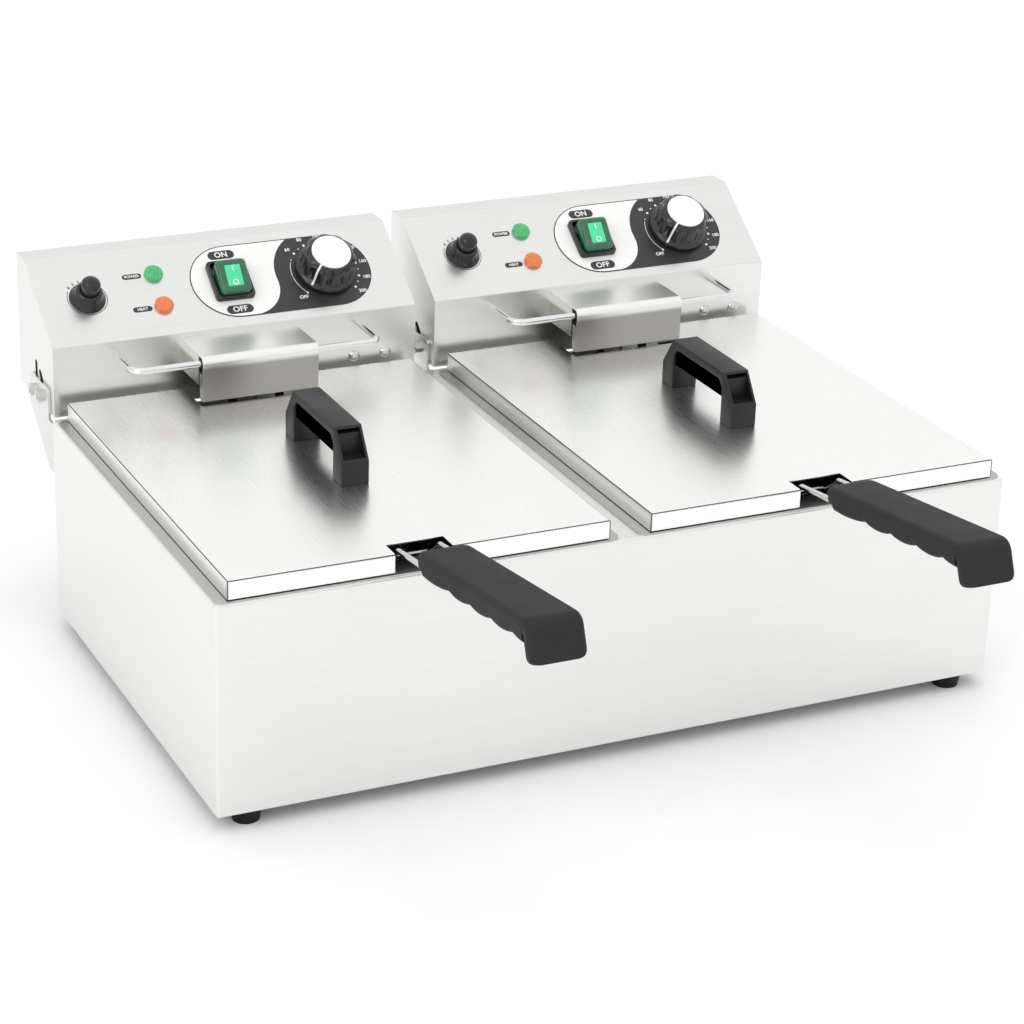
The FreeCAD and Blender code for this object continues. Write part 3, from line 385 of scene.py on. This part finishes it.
def finish_piece(name, bm, material, body, replaced=(), place=None, smooth_below=35):
    """Turn a bmesh into a named piece that rides on a body of the frame."""
    bmesh.ops.remove_doubles(bm, verts=bm.verts, dist=0.0005 * mm)
    bmesh.ops.recalc_face_normals(bm, faces=bm.faces)
    if place is not None:
        bmesh.ops.transform(bm, matrix=place, verts=bm.verts)
    mesh = bpy.data.meshes.new(name)
    bm.to_mesh(mesh)
    bm.free()
    mesh.shade_smooth()
    mesh.set_sharp_from_angle(angle=math.radians(smooth_below))
    mesh.materials.append(material)
    piece = bpy.data.objects.new(name, mesh)
    bpy.context.scene.collection.objects.link(piece)
    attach(piece, body)
    if replaced:
        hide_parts(*replaced)
    return piece


# ---------------------------------------------------------------- the sloping control faces
def face_place(side):
    """Matrix of a control face.

    X runs across from the head's middle, Y up the slope from the knob's level, and Z outwards.
    """
    joint = JOINTS[f"thermostat_{side}_turn"]
    low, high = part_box(f"head_cover_{side}")
    out = -Vector(joint["axis"])
    across = Vector((1, 0, 0))
    up = out.cross(across)
    origin = Vector(joint["pos_m"])
    origin.x = (low.x + high.x) / 2
    turn = Matrix((across, up, out)).transposed()
    return Matrix.Translation(origin) @ turn.to_4x4()


def on_face(side, across, up):
    """Place at a distance in millimetres across and up a control face."""
    return face_place(side) @ Matrix.Translation((across * mm, up * mm, 0))


FILM = 0.30          # thickness of the label's film, as in CAD
PRINT = 0.06         # thickness of one layer of ink
# Where things lie on the face, in millimetres across and up it.
KNOB_AT = (80.0, 0.0)
SWITCH_AT = (5.2, 0.0)
RESET_AT = (-103.5, 0.0)
LAMPS = {"power": (-49.6, 14.2), "heat": (-49.6, -14.2)}
LABEL_AT = (45.75, 0.2)
LABEL_LENGTH, LABEL_RADIUS = 140.5, 32.3


def plate(points, low, high):
    """A flat plate from an outline in millimetres."""
    bm = bmesh.new()
    extrude_flat(bm, [(x * mm, y * mm, low * mm) for x, y in points],
                 (0, 0, (high - low) * mm))
    return bm


def arc(centre, radius, start, end, steps):
    """Points on an arc, angles in degrees anticlockwise from +X."""
    return [(centre[0] + radius * math.cos(math.radians(start + (end - start) * n / steps)),
             centre[1] + radius * math.sin(math.radians(start + (end - start) * n / steps)))
            for n in range(steps + 1)]


def clock(degrees_from_up):
    """Clockwise angle from straight up the slope, as an anticlockwise angle from +X."""
    return 90 - degrees_from_up


def stadium(length, radius, steps=24):
    """Outline of a bar with round ends."""
    half = length / 2 - radius
    return (arc((half, 0), radius, -90, 90, steps)
            + arc((-half, 0), radius, 90, 270, steps))


def white_field():
    """Left part of the label: a round end, closed on the right by an S-shaped line round the knob.

    The line is an arc of radius bend about the knob down to the angle turn, then one of radius
    sweep that curves the other way.
    """
    black_edge, bend, turn, sweep = 0.8, 38.6, 185.0, 26.0
    radius = LABEL_RADIUS - black_edge
    half = LABEL_LENGTH / 2 - LABEL_RADIUS
    knob = (KNOB_AT[0] - LABEL_AT[0], KNOB_AT[1] - LABEL_AT[1])
    top_angle = 180 - math.degrees(math.asin((radius - knob[1]) / bend))
    centre = (knob[0] + (bend + sweep) * math.cos(math.radians(turn)),
              knob[1] + (bend + sweep) * math.sin(math.radians(turn)))
    drop = radius + centre[1]
    low_angle = math.degrees(math.asin(-drop / sweep)) if drop < sweep else -90.0
    edge = arc(knob, bend, top_angle, turn, 20)
    edge += arc(centre, sweep, turn - 180, low_angle, 16)[1:]
    return edge + arc((-half, 0), radius, 270, 90, 32)


def text_mesh(words, height, thickness):
    """Upright lettering, centred on the origin, as a closed mesh."""
    size_per_capital, bold = 1.4, 0.03
    curve = bpy.data.curves.new("lettering", "FONT")
    curve.body = words
    curve.align_x, curve.align_y = "CENTER", "CENTER"
    curve.size = height * size_per_capital * mm
    curve.extrude = thickness / 2 * mm
    curve.offset = height * bold * mm
    curve.resolution_u = 3
    holder = bpy.data.objects.new("lettering", curve)
    bpy.context.scene.collection.objects.link(holder)
    mesh = bpy.data.meshes.new_from_object(holder)
    bpy.data.objects.remove(holder)
    bpy.data.curves.remove(curve)
    return mesh


def add_text(bm, words, height, at, lift, turn=0.0):
    """Join lettering to a bmesh, its middle at a place on the face."""
    mesh = text_mesh(words, height, PRINT)
    mesh.transform(Matrix.Translation((at[0] * mm, at[1] * mm, lift * mm))
                   @ Matrix.Rotation(math.radians(turn), 4, "Z"))
    bm.from_mesh(mesh)
    bpy.data.meshes.remove(mesh)


def add_plate(bm, points, low, high, at=(0, 0)):
    """Join a flat plate to a bmesh, its outline moved to a place on the face."""
    part = plate([(x + at[0], y + at[1]) for x, y in points], low, high)
    mesh = bpy.data.meshes.new("plate")
    part.to_mesh(mesh)
    part.free()
    bm.from_mesh(mesh)
    bpy.data.meshes.remove(mesh)


def arc_band(centre, radius, width, start, end, steps=32):
    """Outline of a curved stroke."""
    return (arc(centre, radius + width / 2, start, end, steps)
            + arc(centre, radius - width / 2, end, start, steps))


def round_centre(centre, radius, degrees_from_up):
    """Point at a clockwise angle round a centre."""
    turn = math.radians(clock(degrees_from_up))
    return centre[0] + radius * math.cos(turn), centre[1] + radius * math.sin(turn)


def dot(centre, radius):
    return arc(centre, radius, 0, 345, 15)


# The dial's rings, in millimetres, and its marks, in degrees clockwise from up the slope.
DIAL_RADIUS, NUMBER_RADIUS, OFF_RADIUS = 26.1, 32.0, 31.5
NUMBER_HEIGHT = 2.9
DIAL_MARKS = {-46: "60", -20.5: "80", 5: "100", 30.7: "120", 56: "140", 82: "160", 108: "180",
              133: "200"}
OFF_LINE_END = -66
FIRST_SMALL_DOT = (-66, -56)            # it lies in the middle of these two
OFF_ANGLE = -133


# Pills of black print: words, place, length, height, height of the letters, level of the underside.
PILLS = (("ON", (5.4, 24.4), 20.5, 7.5, 4.6, FILM + PRINT),
         ("OFF", (5.8, -25.2), 20.5, 7.6, 4.6, FILM + PRINT),
         ("POWER", (-66.2, 14.5), 14.7, 4.6, 2.3, 0.0),
         ("HEAT", (-65.9, -15.0), 14.7, 4.6, 2.3, 0.0))
RESET_RING, RESET_WORD = 14.6, 15.4     # radii of the line and of the letters round the button
RESET_WORD_START, RESET_WORD_STEP = -45, 17


def make_label(side):
    """Black film with a white field and dial, pills of black print and the reset button's ring."""
    film = plate(stadium(LABEL_LENGTH, LABEL_RADIUS), 0.0, FILM)
    finish_piece(f"label_film_{side}", film, BLACK_INK, "root",
                 [f"control_label_{side}"], on_face(side, *LABEL_AT))
    white = bmesh.new()
    top, middle = FILM + PRINT, FILM + PRINT / 2
    add_plate(white, white_field(), FILM, top, LABEL_AT)
    for angle, words in DIAL_MARKS.items():
        add_plate(white, dot(round_centre(KNOB_AT, DIAL_RADIUS, angle), 1.0), FILM, top)
        add_text(white, words, NUMBER_HEIGHT, round_centre(KNOB_AT, NUMBER_RADIUS, angle), middle)
    marks = sorted(DIAL_MARKS)
    for low, high in [FIRST_SMALL_DOT] + list(zip(marks, marks[1:])):
        between = round_centre(KNOB_AT, DIAL_RADIUS, (low + high) / 2)
        add_plate(white, arc(between, 0.55, 0, 330, 11), FILM, top)
    add_plate(white, arc_band(KNOB_AT, DIAL_RADIUS, 0.4, clock(OFF_LINE_END), clock(OFF_ANGLE)),
              FILM, top)
    add_plate(white, dot(round_centre(KNOB_AT, DIAL_RADIUS, OFF_ANGLE), 0.9), FILM, top)
    add_text(white, "OFF", NUMBER_HEIGHT, round_centre(KNOB_AT, OFF_RADIUS, OFF_ANGLE), middle)
    finish_piece(f"label_white_{side}", white, WHITE_INK, "root",
                 place=on_face(side, 0, 0))

    black = bmesh.new()
    words_on_pills = bmesh.new()
    for words, at, length, height, letters, low in PILLS:
        add_plate(black, stadium(length, height / 2, 12), low, low + PRINT, at)
        add_text(words_on_pills, words, letters, at, low + 1.5 * PRINT)
    add_plate(black, arc_band(RESET_AT, RESET_RING, 0.5, clock(55), clock(302)), 0.0, PRINT)
    for n, letter in enumerate("RESET"):
        angle = RESET_WORD_START + RESET_WORD_STEP * n
        add_text(black, letter, 2.3, round_centre(RESET_AT, RESET_WORD, angle), PRINT / 2, -angle)
    finish_piece(f"black_print_{side}", black, BLACK_INK, "root",
                 place=on_face(side, 0, 0))
    finish_piece(f"white_print_{side}", words_on_pills, WHITE_INK, "root",
                 place=on_face(side, 0, 0))


def make_knob(side):
    """Fluted body on a round skirt, with a white cap and a white pointer. Sizes in millimetres."""
    flutes, per_flute = 10, 8

    def ring(radius, lift, depth=0.0):
        points = []
        for n in range(flutes * per_flute):
            angle = math.tau * n / (flutes * per_flute)
            hollow = depth * (0.5 + 0.5 * math.cos(flutes * angle)) ** 1.5
            points.append(Vector(((radius - hollow) * math.cos(angle),
                                  (radius - hollow) * math.sin(angle), lift)) * mm)
        return points

    body = bmesh.new()
    # Radius, height and, above the skirt, the depth of the flutes.
    loft(body, [ring(*level) for level in (
        (21.8, 1.0), (22.8, 1.4), (23.0, 2.4), (22.8, 4.6), (22.2, 5.4), (21.0, 5.9),
        (20.5, 6.4, 0.3), (20.2, 7.2, 1.3), (19.7, 17.5, 1.5), (19.4, 19.4, 1.4),
        (18.8, 20.3, 1.1), (16.8, 22.0, 0.3), (15.9, 22.6), (15.3, 22.7), (15.1, 22.2))])
    place = on_face(side, *KNOB_AT)
    finish_piece(f"knob_body_{side}", body, KNOB, f"knob_{side}",
                 [f"thermostat_knob_{side}"], place, 50)
    cap = turned([(0, 21.0), (14.9, 21.0), (14.9, 23.0), (14.6, 23.35), (14.0, 23.5), (0, 23.5)])
    finish_piece(f"knob_cap_{side}", cap, WHITE_CAP, f"knob_{side}", place=place)

    pointer = bmesh.new()
    wide, sunk, out, above = 0.75, 0.5, 0.1, 0.15
    line = [(15.2, 22.9), (16.6, 22.3), (19.1, 20.4), (19.9, 17.8), (20.4, 7.4), (22.4, 5.6)]
    loft(pointer, [[Vector((radius - sunk, -wide, lift - sunk)) * mm,
                    Vector((radius + out, -wide, lift + above)) * mm,
                    Vector((radius + out, wide, lift + above)) * mm,
                    Vector((radius - sunk, wide, lift - sunk)) * mm] for radius, lift in line])
    turn = Matrix.Rotation(math.radians(clock(OFF_ANGLE)), 4, "Z")
    finish_piece(f"knob_pointer_{side}", pointer, WHITE_CAP, f"knob_{side}",
                 place=place @ turn)


ROCKER_TILT = 14     # degrees, from level to off


def make_switch(side):
    """Black bezel with a green boot and a paler window over the rocker."""
    bezel = stacked([(15.0, 17.0, 3.0, 0.0), (15.0, 17.0, 3.0, 4.0), (14.6, 16.6, 2.8, 4.8),
                     (13.9, 15.9, 2.6, 5.0), (12.9, 14.9, 2.4, 4.9), (12.6, 14.6, 2.3, 4.2),
                     (12.6, 14.6, 2.3, 0.4)])
    finish_piece(f"switch_bezel_{side}", bezel, KNOB, "root",
                 [f"switch_housing_{side}"], on_face(side, *SWITCH_AT))
    tilt = on_face(side, *SWITCH_AT) @ Matrix.Rotation(math.radians(ROCKER_TILT), 4, "X")
    boot = stacked([(11.7, 13.4, 3.0, 4.0), (11.6, 13.3, 3.0, 9.5), (11.3, 13.0, 3.0, 11.6),
                    (10.6, 12.3, 3.0, 12.7), (9.6, 11.3, 2.6, 13.1), (8.2, 9.9, 1.6, 13.1),
                    (7.6, 9.3, 1.2, 12.8)])
    finish_piece(f"rocker_boot_{side}", boot, GREEN_ROCKER, f"rocker_{side}",
                 [f"rocker_{side}"], tilt, 40)
    window = stacked([(6.0, 8.4, 0.8, 12.7), (5.8, 8.2, 0.8, 13.0), (5.5, 7.9, 0.8, 13.12)])
    finish_piece(f"rocker_window_{side}", window, GREEN_WINDOW, f"rocker_{side}",
                 place=tilt)
    marks = bmesh.new()
    add_plate(marks, [(-0.4, 3.4), (0.4, 3.4), (0.4, 7.4), (-0.4, 7.4)], 13.1, 13.2)
    add_plate(marks, arc_band((0, -5.4), 1.9, 0.7, 0, 359, 30), 13.12, 13.2)
    finish_piece(f"rocker_marks_{side}", marks, WHITE_INK, f"rocker_{side}",
                 place=tilt)


def make_lamp(side, which, material):
    """Low round lens with slanting ribs pressed into its face. Sizes in millimetres."""
    radius, rings, count = 7.0, 22, 72
    rim, dome_foot, dome_rise = 2.0, 2.2, 1.3
    rib_depth, rib_pitch, rib_fade = 0.16, 1.15, 0.9
    rib_across, rib_up = 0.94, 0.34

    def height(x, y):
        reach = math.hypot(x, y)
        dome = rim
        if reach < radius:
            dome = dome_foot + dome_rise * math.sqrt(max(0.0, 1 - (reach / radius) ** 2))
        phase = math.tau * (x * rib_across + y * rib_up) / rib_pitch
        return dome + rib_depth * math.cos(phase) * min(1.0, (radius - reach) / rib_fade)

    def ring(reach, level=None):
        points = []
        for n in range(count):
            x, y = reach * math.cos(math.tau * n / count), reach * math.sin(math.tau * n / count)
            points.append(Vector((x, y, height(x, y) if level is None else level)) * mm)
        return points

    lens = bmesh.new()
    loft(lens, [ring(radius, 0)] + [ring(radius * (1 - step / rings)) for step in range(rings)])
    finish_piece(f"{which}_lens_{side}", lens, material, "root", [f"{which}_lamp_{side}"],
                 on_face(side, *LAMPS[which]), 60)


def make_reset(side):
    """Rubber boot of the reset button: a flared skirt, and a domed nipple that slides in it."""
    skirt = turned([(0, 0), (13.2, 0), (13.4, 0.7), (12.9, 1.6), (11.4, 3.0), (10.3, 5.4),
                    (9.7, 8.4), (9.1, 9.8), (7.35, 10.2), (7.35, 1.0), (0, 1.0)])
    place = on_face(side, *RESET_AT)
    finish_piece(f"reset_boot_{side}", skirt, BOOT_RUBBER, "root",
                 [f"reset_skirt_{side}"], place, 60)
    radius, shoulder, rise = 7.05, 16.6, 5.2
    dome = [(radius * math.cos(math.radians(a)), shoulder + rise * math.sin(math.radians(a)))
            for a in range(0, 90, 10)]
    button = turned([(0, 4.4), (7.0, 4.4), (radius, 9.0), (6.7, 11.5), (6.75, 14.6), *dome,
                     (0, shoulder + rise)])
    finish_piece(f"reset_dome_{side}", button, BOOT_RUBBER, f"reset_{side}",
                 [f"reset_button_{side}"], place, 60)


# ---------------------------------------------------------------- handles, grips and baskets
def make_lid_handle(side):
    """Bridge handle with sloping ends, a pocket sunk in each sloping end and softened edges."""
    low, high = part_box(f"lid_handle_{side}")
    middle = (low + high) / 2
    half = (high.y - low.y) / 2 / mm
    width, top = (high.x - low.x) / 2, (high.z - low.z) / mm
    shoulder, lean, leg, bar, inner = 16.5, 14.5, 16.0, 6.5, 5
    pocket_rim, pocket_wall, pocket_roof = 1.8, 3.5, 2.0
    outline = [(-half, 0), (-half, shoulder), (-half + lean, top), (half - lean, top),
               (half, shoulder), (half, 0), (half - leg, 0), (half - leg, top - bar - inner),
               (half - leg - inner, top - bar), (-half + leg + inner, top - bar),
               (-half + leg, top - bar - inner), (-half + leg, 0)]
    bm = bmesh.new()
    extrude_flat(bm, [(-width, y * mm, z * mm) for y, z in outline], (2 * width, 0, 0))
    bmesh.ops.recalc_face_normals(bm, faces=bm.faces)
    soften(bm, 0.7 * mm, 2)
    sloping = sorted(bm.faces, key=lambda f: -f.calc_area())
    sloping = [f for f in sloping
               if 0.3 < abs(f.normal.y) < 0.95 and f.normal.z > 0.3 and f.calc_area() > 1e-4]
    for face in sloping[:2]:
        bmesh.ops.inset_individual(bm, faces=[face], thickness=pocket_rim * mm)
        sunk = bmesh.ops.extrude_face_region(bm, geom=[face])["geom"]
        outward = 1 if face.normal.y > 0 else -1
        bmesh.ops.delete(bm, geom=[face], context="FACES_ONLY")
        for vert in (v for v in sunk if isinstance(v, bmesh.types.BMVert)):
            vert.co.y = outward * (half - leg + pocket_wall) * mm
            vert.co.z = min(vert.co.z, (top - bar) * mm + pocket_roof * mm)
    finish_piece(f"handle_{side}", bm, BLACK, f"lid_{side}",
                 [f"lid_handle_{side}"], Matrix.Translation((middle.x, middle.y, low.z)), 25)


# The grip: half its width, its depth, its length to the end's bend, the bend's radius and angle.
GRIP_HALF, GRIP_DEPTH = 19.0, 13.0
GRIP_LENGTH, GRIP_BEND, GRIP_TURN = 163.0, 10.0, 76
GRIP_START = -0.193      # Y, in metres, where the grip begins on the wires
GRIP_RISE = 13.0         # its top there, above the lid
GRIP_HOLLOW = 3.6        # depth of the finger hollows
GRIP_TILT = 7.7          # degrees, down towards the front


def grip_ring(along, lift, half, depth, lean=0.0):
    """One cross-section of the grip in millimetres, a little narrower below and crowned above."""
    corner_radius, narrowing, crown_rise = 4.2, 0.05, 0.5
    points = []
    for corner in rounded_rectangle(half, depth / 2, corner_radius, 6):
        across, down = corner.x, corner.y - depth / 2
        waist = 1.0 - narrowing * min(1.0, -down / depth)
        crown = crown_rise * (1 - (across / half) ** 2) if down > -0.5 else 0.0
        points.append(Vector((across * waist, -(along + down * math.sin(lean)),
                              lift + (down + crown) * math.cos(lean))) * mm)
    return points


def make_grip(side):
    """Soft grip: flat crowned top, finger hollows below and a lip turned down at the end."""
    pitch, first = GRIP_LENGTH * 0.185, GRIP_LENGTH * 0.296
    straight = GRIP_LENGTH - GRIP_BEND + 2.5
    # Round start: distance along, and how much narrower each side is.
    start = ((0.0, 5.5), (0.8, 3.4), (2.2, 1.7), (4.5, 0.5), (8.0, 0.0))
    rings = [grip_ring(y, -narrow * 0.35, GRIP_HALF - narrow, GRIP_DEPTH - narrow * 0.5)
             for y, narrow in start]
    full, steps = start[-1][0], 62
    for n in range(1, steps + 1):
        y = full + (straight - full) * n / steps
        part = (y - first) % pitch / pitch if y > first else y / first
        hollow = GRIP_HOLLOW * math.sqrt(max(0.0, math.sin(math.pi * part)))
        rings.append(grip_ring(y, 0.0, GRIP_HALF, GRIP_DEPTH + hollow))
    bend_steps, depth, end_depth = 8, 14.0, 11.5
    for n in range(1, bend_steps + 1):
        turn = math.radians(GRIP_TURN * n / bend_steps)
        y0, z0 = straight + GRIP_BEND * math.sin(turn), -GRIP_BEND * (1 - math.cos(turn))
        rings.append(grip_ring(y0, z0, GRIP_HALF, depth - (depth - end_depth) * n / bend_steps,
                               turn))
    # Round end, along the turned-down lip.
    for step, narrow in ((4.0, 0), (9.0, 0), (13.6, 0), (15.8, 0.4), (17.4, 1.4), (18.4, 3.0),
                         (18.8, 5.0)):
        rings.append(grip_ring(y0 + step * math.cos(turn), z0 - step * math.sin(turn),
                               GRIP_HALF - narrow, end_depth - 0.35 * narrow, turn))
    bm = bmesh.new()
    loft(bm, rings)
    low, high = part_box(f"basket_grip_{side}")
    lid_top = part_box(f"lid_{side}")[1].z
    place = Matrix.Translation(((low.x + high.x) / 2, GRIP_START, lid_top + GRIP_RISE * mm))
    place = place @ Matrix.Rotation(math.radians(-GRIP_TILT), 4, "X")
    finish_piece(f"grip_{side}", bm, SOFT_GRIP, f"basket_{side}",
                 [f"basket_grip_{side}"], place, 60)


def arc_corner(points, centre, along, upward, start, end, radius, steps=6):
    """Append an arc about a centre, angles in degrees, in the plane of two unit vectors."""
    for n in range(steps + 1):
        angle = math.radians(start + (end - start) * n / steps)
        points.append(centre + (along * math.cos(angle) + upward * math.sin(angle)) * radius)


def make_basket(side):
    """Welded mesh basket: bent wires crossing under the floor, and hoops round the walls."""
    low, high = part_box(f"basket_{side}")
    wire, pitch, corner, heel = 0.65 * mm, 6.6 * mm, 22 * mm, 7 * mm
    inside, margin, crossing = 0.9 * mm, 4 * mm, 1.2 * mm
    x0, x1, y0, y1 = low.x + inside, high.x - inside, low.y + inside, high.y - inside
    z0, z1 = low.z + inside, high.z - inside
    bm = bmesh.new()
    X, Y, Z = Vector((1, 0, 0)), Vector((0, 1, 0)), Vector((0, 0, 1))

    def bent_wires(along, a, b, across, c, d, level):
        """U-shaped wires from a to b, spaced out from c to d and shorter near the corners."""
        count = int((d - c - 2 * margin) / pitch)
        for n in range(count + 1):
            position = c + margin + (d - c - 2 * margin) * n / count
            near = min(position - c, d - position)
            cut = 0.0
            if near < corner:
                cut = corner - math.sqrt(max(0.0, corner ** 2 - (corner - near) ** 2))
            start, end, fixed = a + cut, b - cut, across * position
            path = [fixed + along * start + Z * z1]
            arc_corner(path, fixed + along * (start + heel) + Z * (level + heel), along, Z,
                       180, 270, heel)
            arc_corner(path, fixed + along * (end - heel) + Z * (level + heel), along, Z,
                       270, 360, heel)
            path.append(fixed + along * end + Z * z1)
            swept_wire(bm, path, wire, 6)

    bent_wires(X, x0, x1, Y, y0, y1, z0)
    bent_wires(Y, y0, y1, X, x0, x1, z0 + crossing)
    rows = int((z1 - z0 - heel) / pitch)
    middle = Vector(((x0 + x1) / 2, (y0 + y1) / 2, 0))
    for n in range(rows + 1):
        z = z0 + heel + (z1 - z0 - heel) * n / rows
        outline = rounded_rectangle((x1 - x0) / 2 - wire, (y1 - y0) / 2 - wire, corner, 6)
        path = [point + middle + Z * z for point in outline]
        swept_wire(bm, path + path[:1], wire, 6)
    finish_piece(f"basket_mesh_{side}", bm, WIRE, f"basket_{side}",
                 [f"basket_{side}"], smooth_below=70)


for side in SIDES:
    make_label(side)
    make_knob(side)
    make_switch(side)
    make_lamp(side, "power", GREEN_LENS)
    make_lamp(side, "heat", ORANGE_LENS)
    make_reset(side)
    make_lid_handle(side)
    make_grip(side)
    make_basket(side)


# ---------------------------------------------------------------- studio
FLOOR_HALF = 6.0     # metres


def make_floor():
    """Plain paper floor under the fryer."""
    bm = bmesh.new()
    bmesh.ops.create_grid(bm, x_segments=1, y_segments=1, size=FLOOR_HALF)
    mesh = bpy.data.meshes.new("studio_floor")
    bm.to_mesh(mesh)
    bm.free()
    floor = bpy.data.objects.new("studio_floor", mesh)
    bpy.context.scene.collection.objects.link(floor)
    # Matt white paper sweep: hardly shines, and takes soft grey shadows.
    material, tree, shader, place = start_material("matt_white_paper")
    dress(tree, shader, grain(tree, place, (33, 33, 33)), "#F6F6F6", "#FAFAFA", 0.9, 0.92)
    mesh.materials.append(material)


def make_light(name, place, target, size, power, mirrored=True):
    """Soft light; one that isn't mirrored lights the steel without showing as a patch in it."""
    light = bpy.data.lights.new(name, "AREA")
    light.shape = "RECTANGLE"
    light.size, light.size_y = size
    light.energy = power
    lamp = bpy.data.objects.new(name, light)
    lamp.location = place
    lamp.visible_glossy = mirrored
    lamp.rotation_euler = (Vector(target) - Vector(place)).to_track_quat("-Z", "Y").to_euler()
    bpy.context.scene.collection.objects.link(lamp)


def make_world():
    """Even white surroundings, a little brighter overhead than at the horizon."""
    world = bpy.data.worlds.new("studio")
    world.use_nodes = True
    tree = world.node_tree
    direction = add(tree, "TexCoord").outputs["Generated"]
    height = add(tree, "SeparateXYZ", {"Vector": direction}).outputs["Z"]
    level = add(tree, "MapRange", {"Value": height, "From Min": -0.1, "From Max": 0.9,
                                   "To Min": 0.90, "To Max": 1.04}).outputs["Result"]
    tree.links.new(level, tree.nodes["Background"].inputs["Strength"])
    tree.nodes["Background"].inputs["Color"].default_value = (1.0, 1.0, 1.0, 1.0)
    bpy.context.scene.world = world
    bpy.context.scene.view_settings.view_transform = "Standard"


CAMERA_AT = (-0.848, -1.736, 0.929)
CAMERA_HEADING, CAMERA_PITCH, CAMERA_ROLL = 24.9, -22.76, 1.45      # degrees
CAMERA_LENS, CAMERA_SENSOR = 103.8, 36.0                            # millimetres
CAMERA_SHIFT = (0.045, -0.0106)


def make_camera():
    """Camera in front, a little to the left and looking down."""
    heading, pitch, roll = (math.radians(angle)
                            for angle in (CAMERA_HEADING, CAMERA_PITCH, CAMERA_ROLL))
    ahead = Vector((math.sin(heading) * math.cos(pitch), math.cos(heading) * math.cos(pitch),
                    math.sin(pitch)))
    level = Vector((math.cos(heading), -math.sin(heading), 0))
    right = (level * math.cos(roll) + level.cross(ahead) * math.sin(roll)).normalized()
    up = right.cross(ahead)
    data = bpy.data.cameras.new("studio_camera")
    data.sensor_width = CAMERA_SENSOR
    data.lens = CAMERA_LENS
    data.shift_x, data.shift_y = CAMERA_SHIFT
    data.clip_start, data.clip_end = 0.05, 50.0
    camera = bpy.data.objects.new("studio_camera", data)
    turn = Matrix((right, up, -ahead)).transposed()
    camera.matrix_world = Matrix.Translation(CAMERA_AT) @ turn.to_4x4()
    bpy.context.scene.collection.objects.link(camera)
    bpy.context.scene.camera = camera


LIT_SPOT = (0, 0, 0.1)

make_camera()
make_floor()
make_world()
make_light("softbox_left", (-2.2, -1.2, 2.0), LIT_SPOT, (1.6, 1.6), 12)
make_light("softbox_top", (0.3, 0.4, 2.6), LIT_SPOT, (2.0, 1.4), 10, mirrored=False)
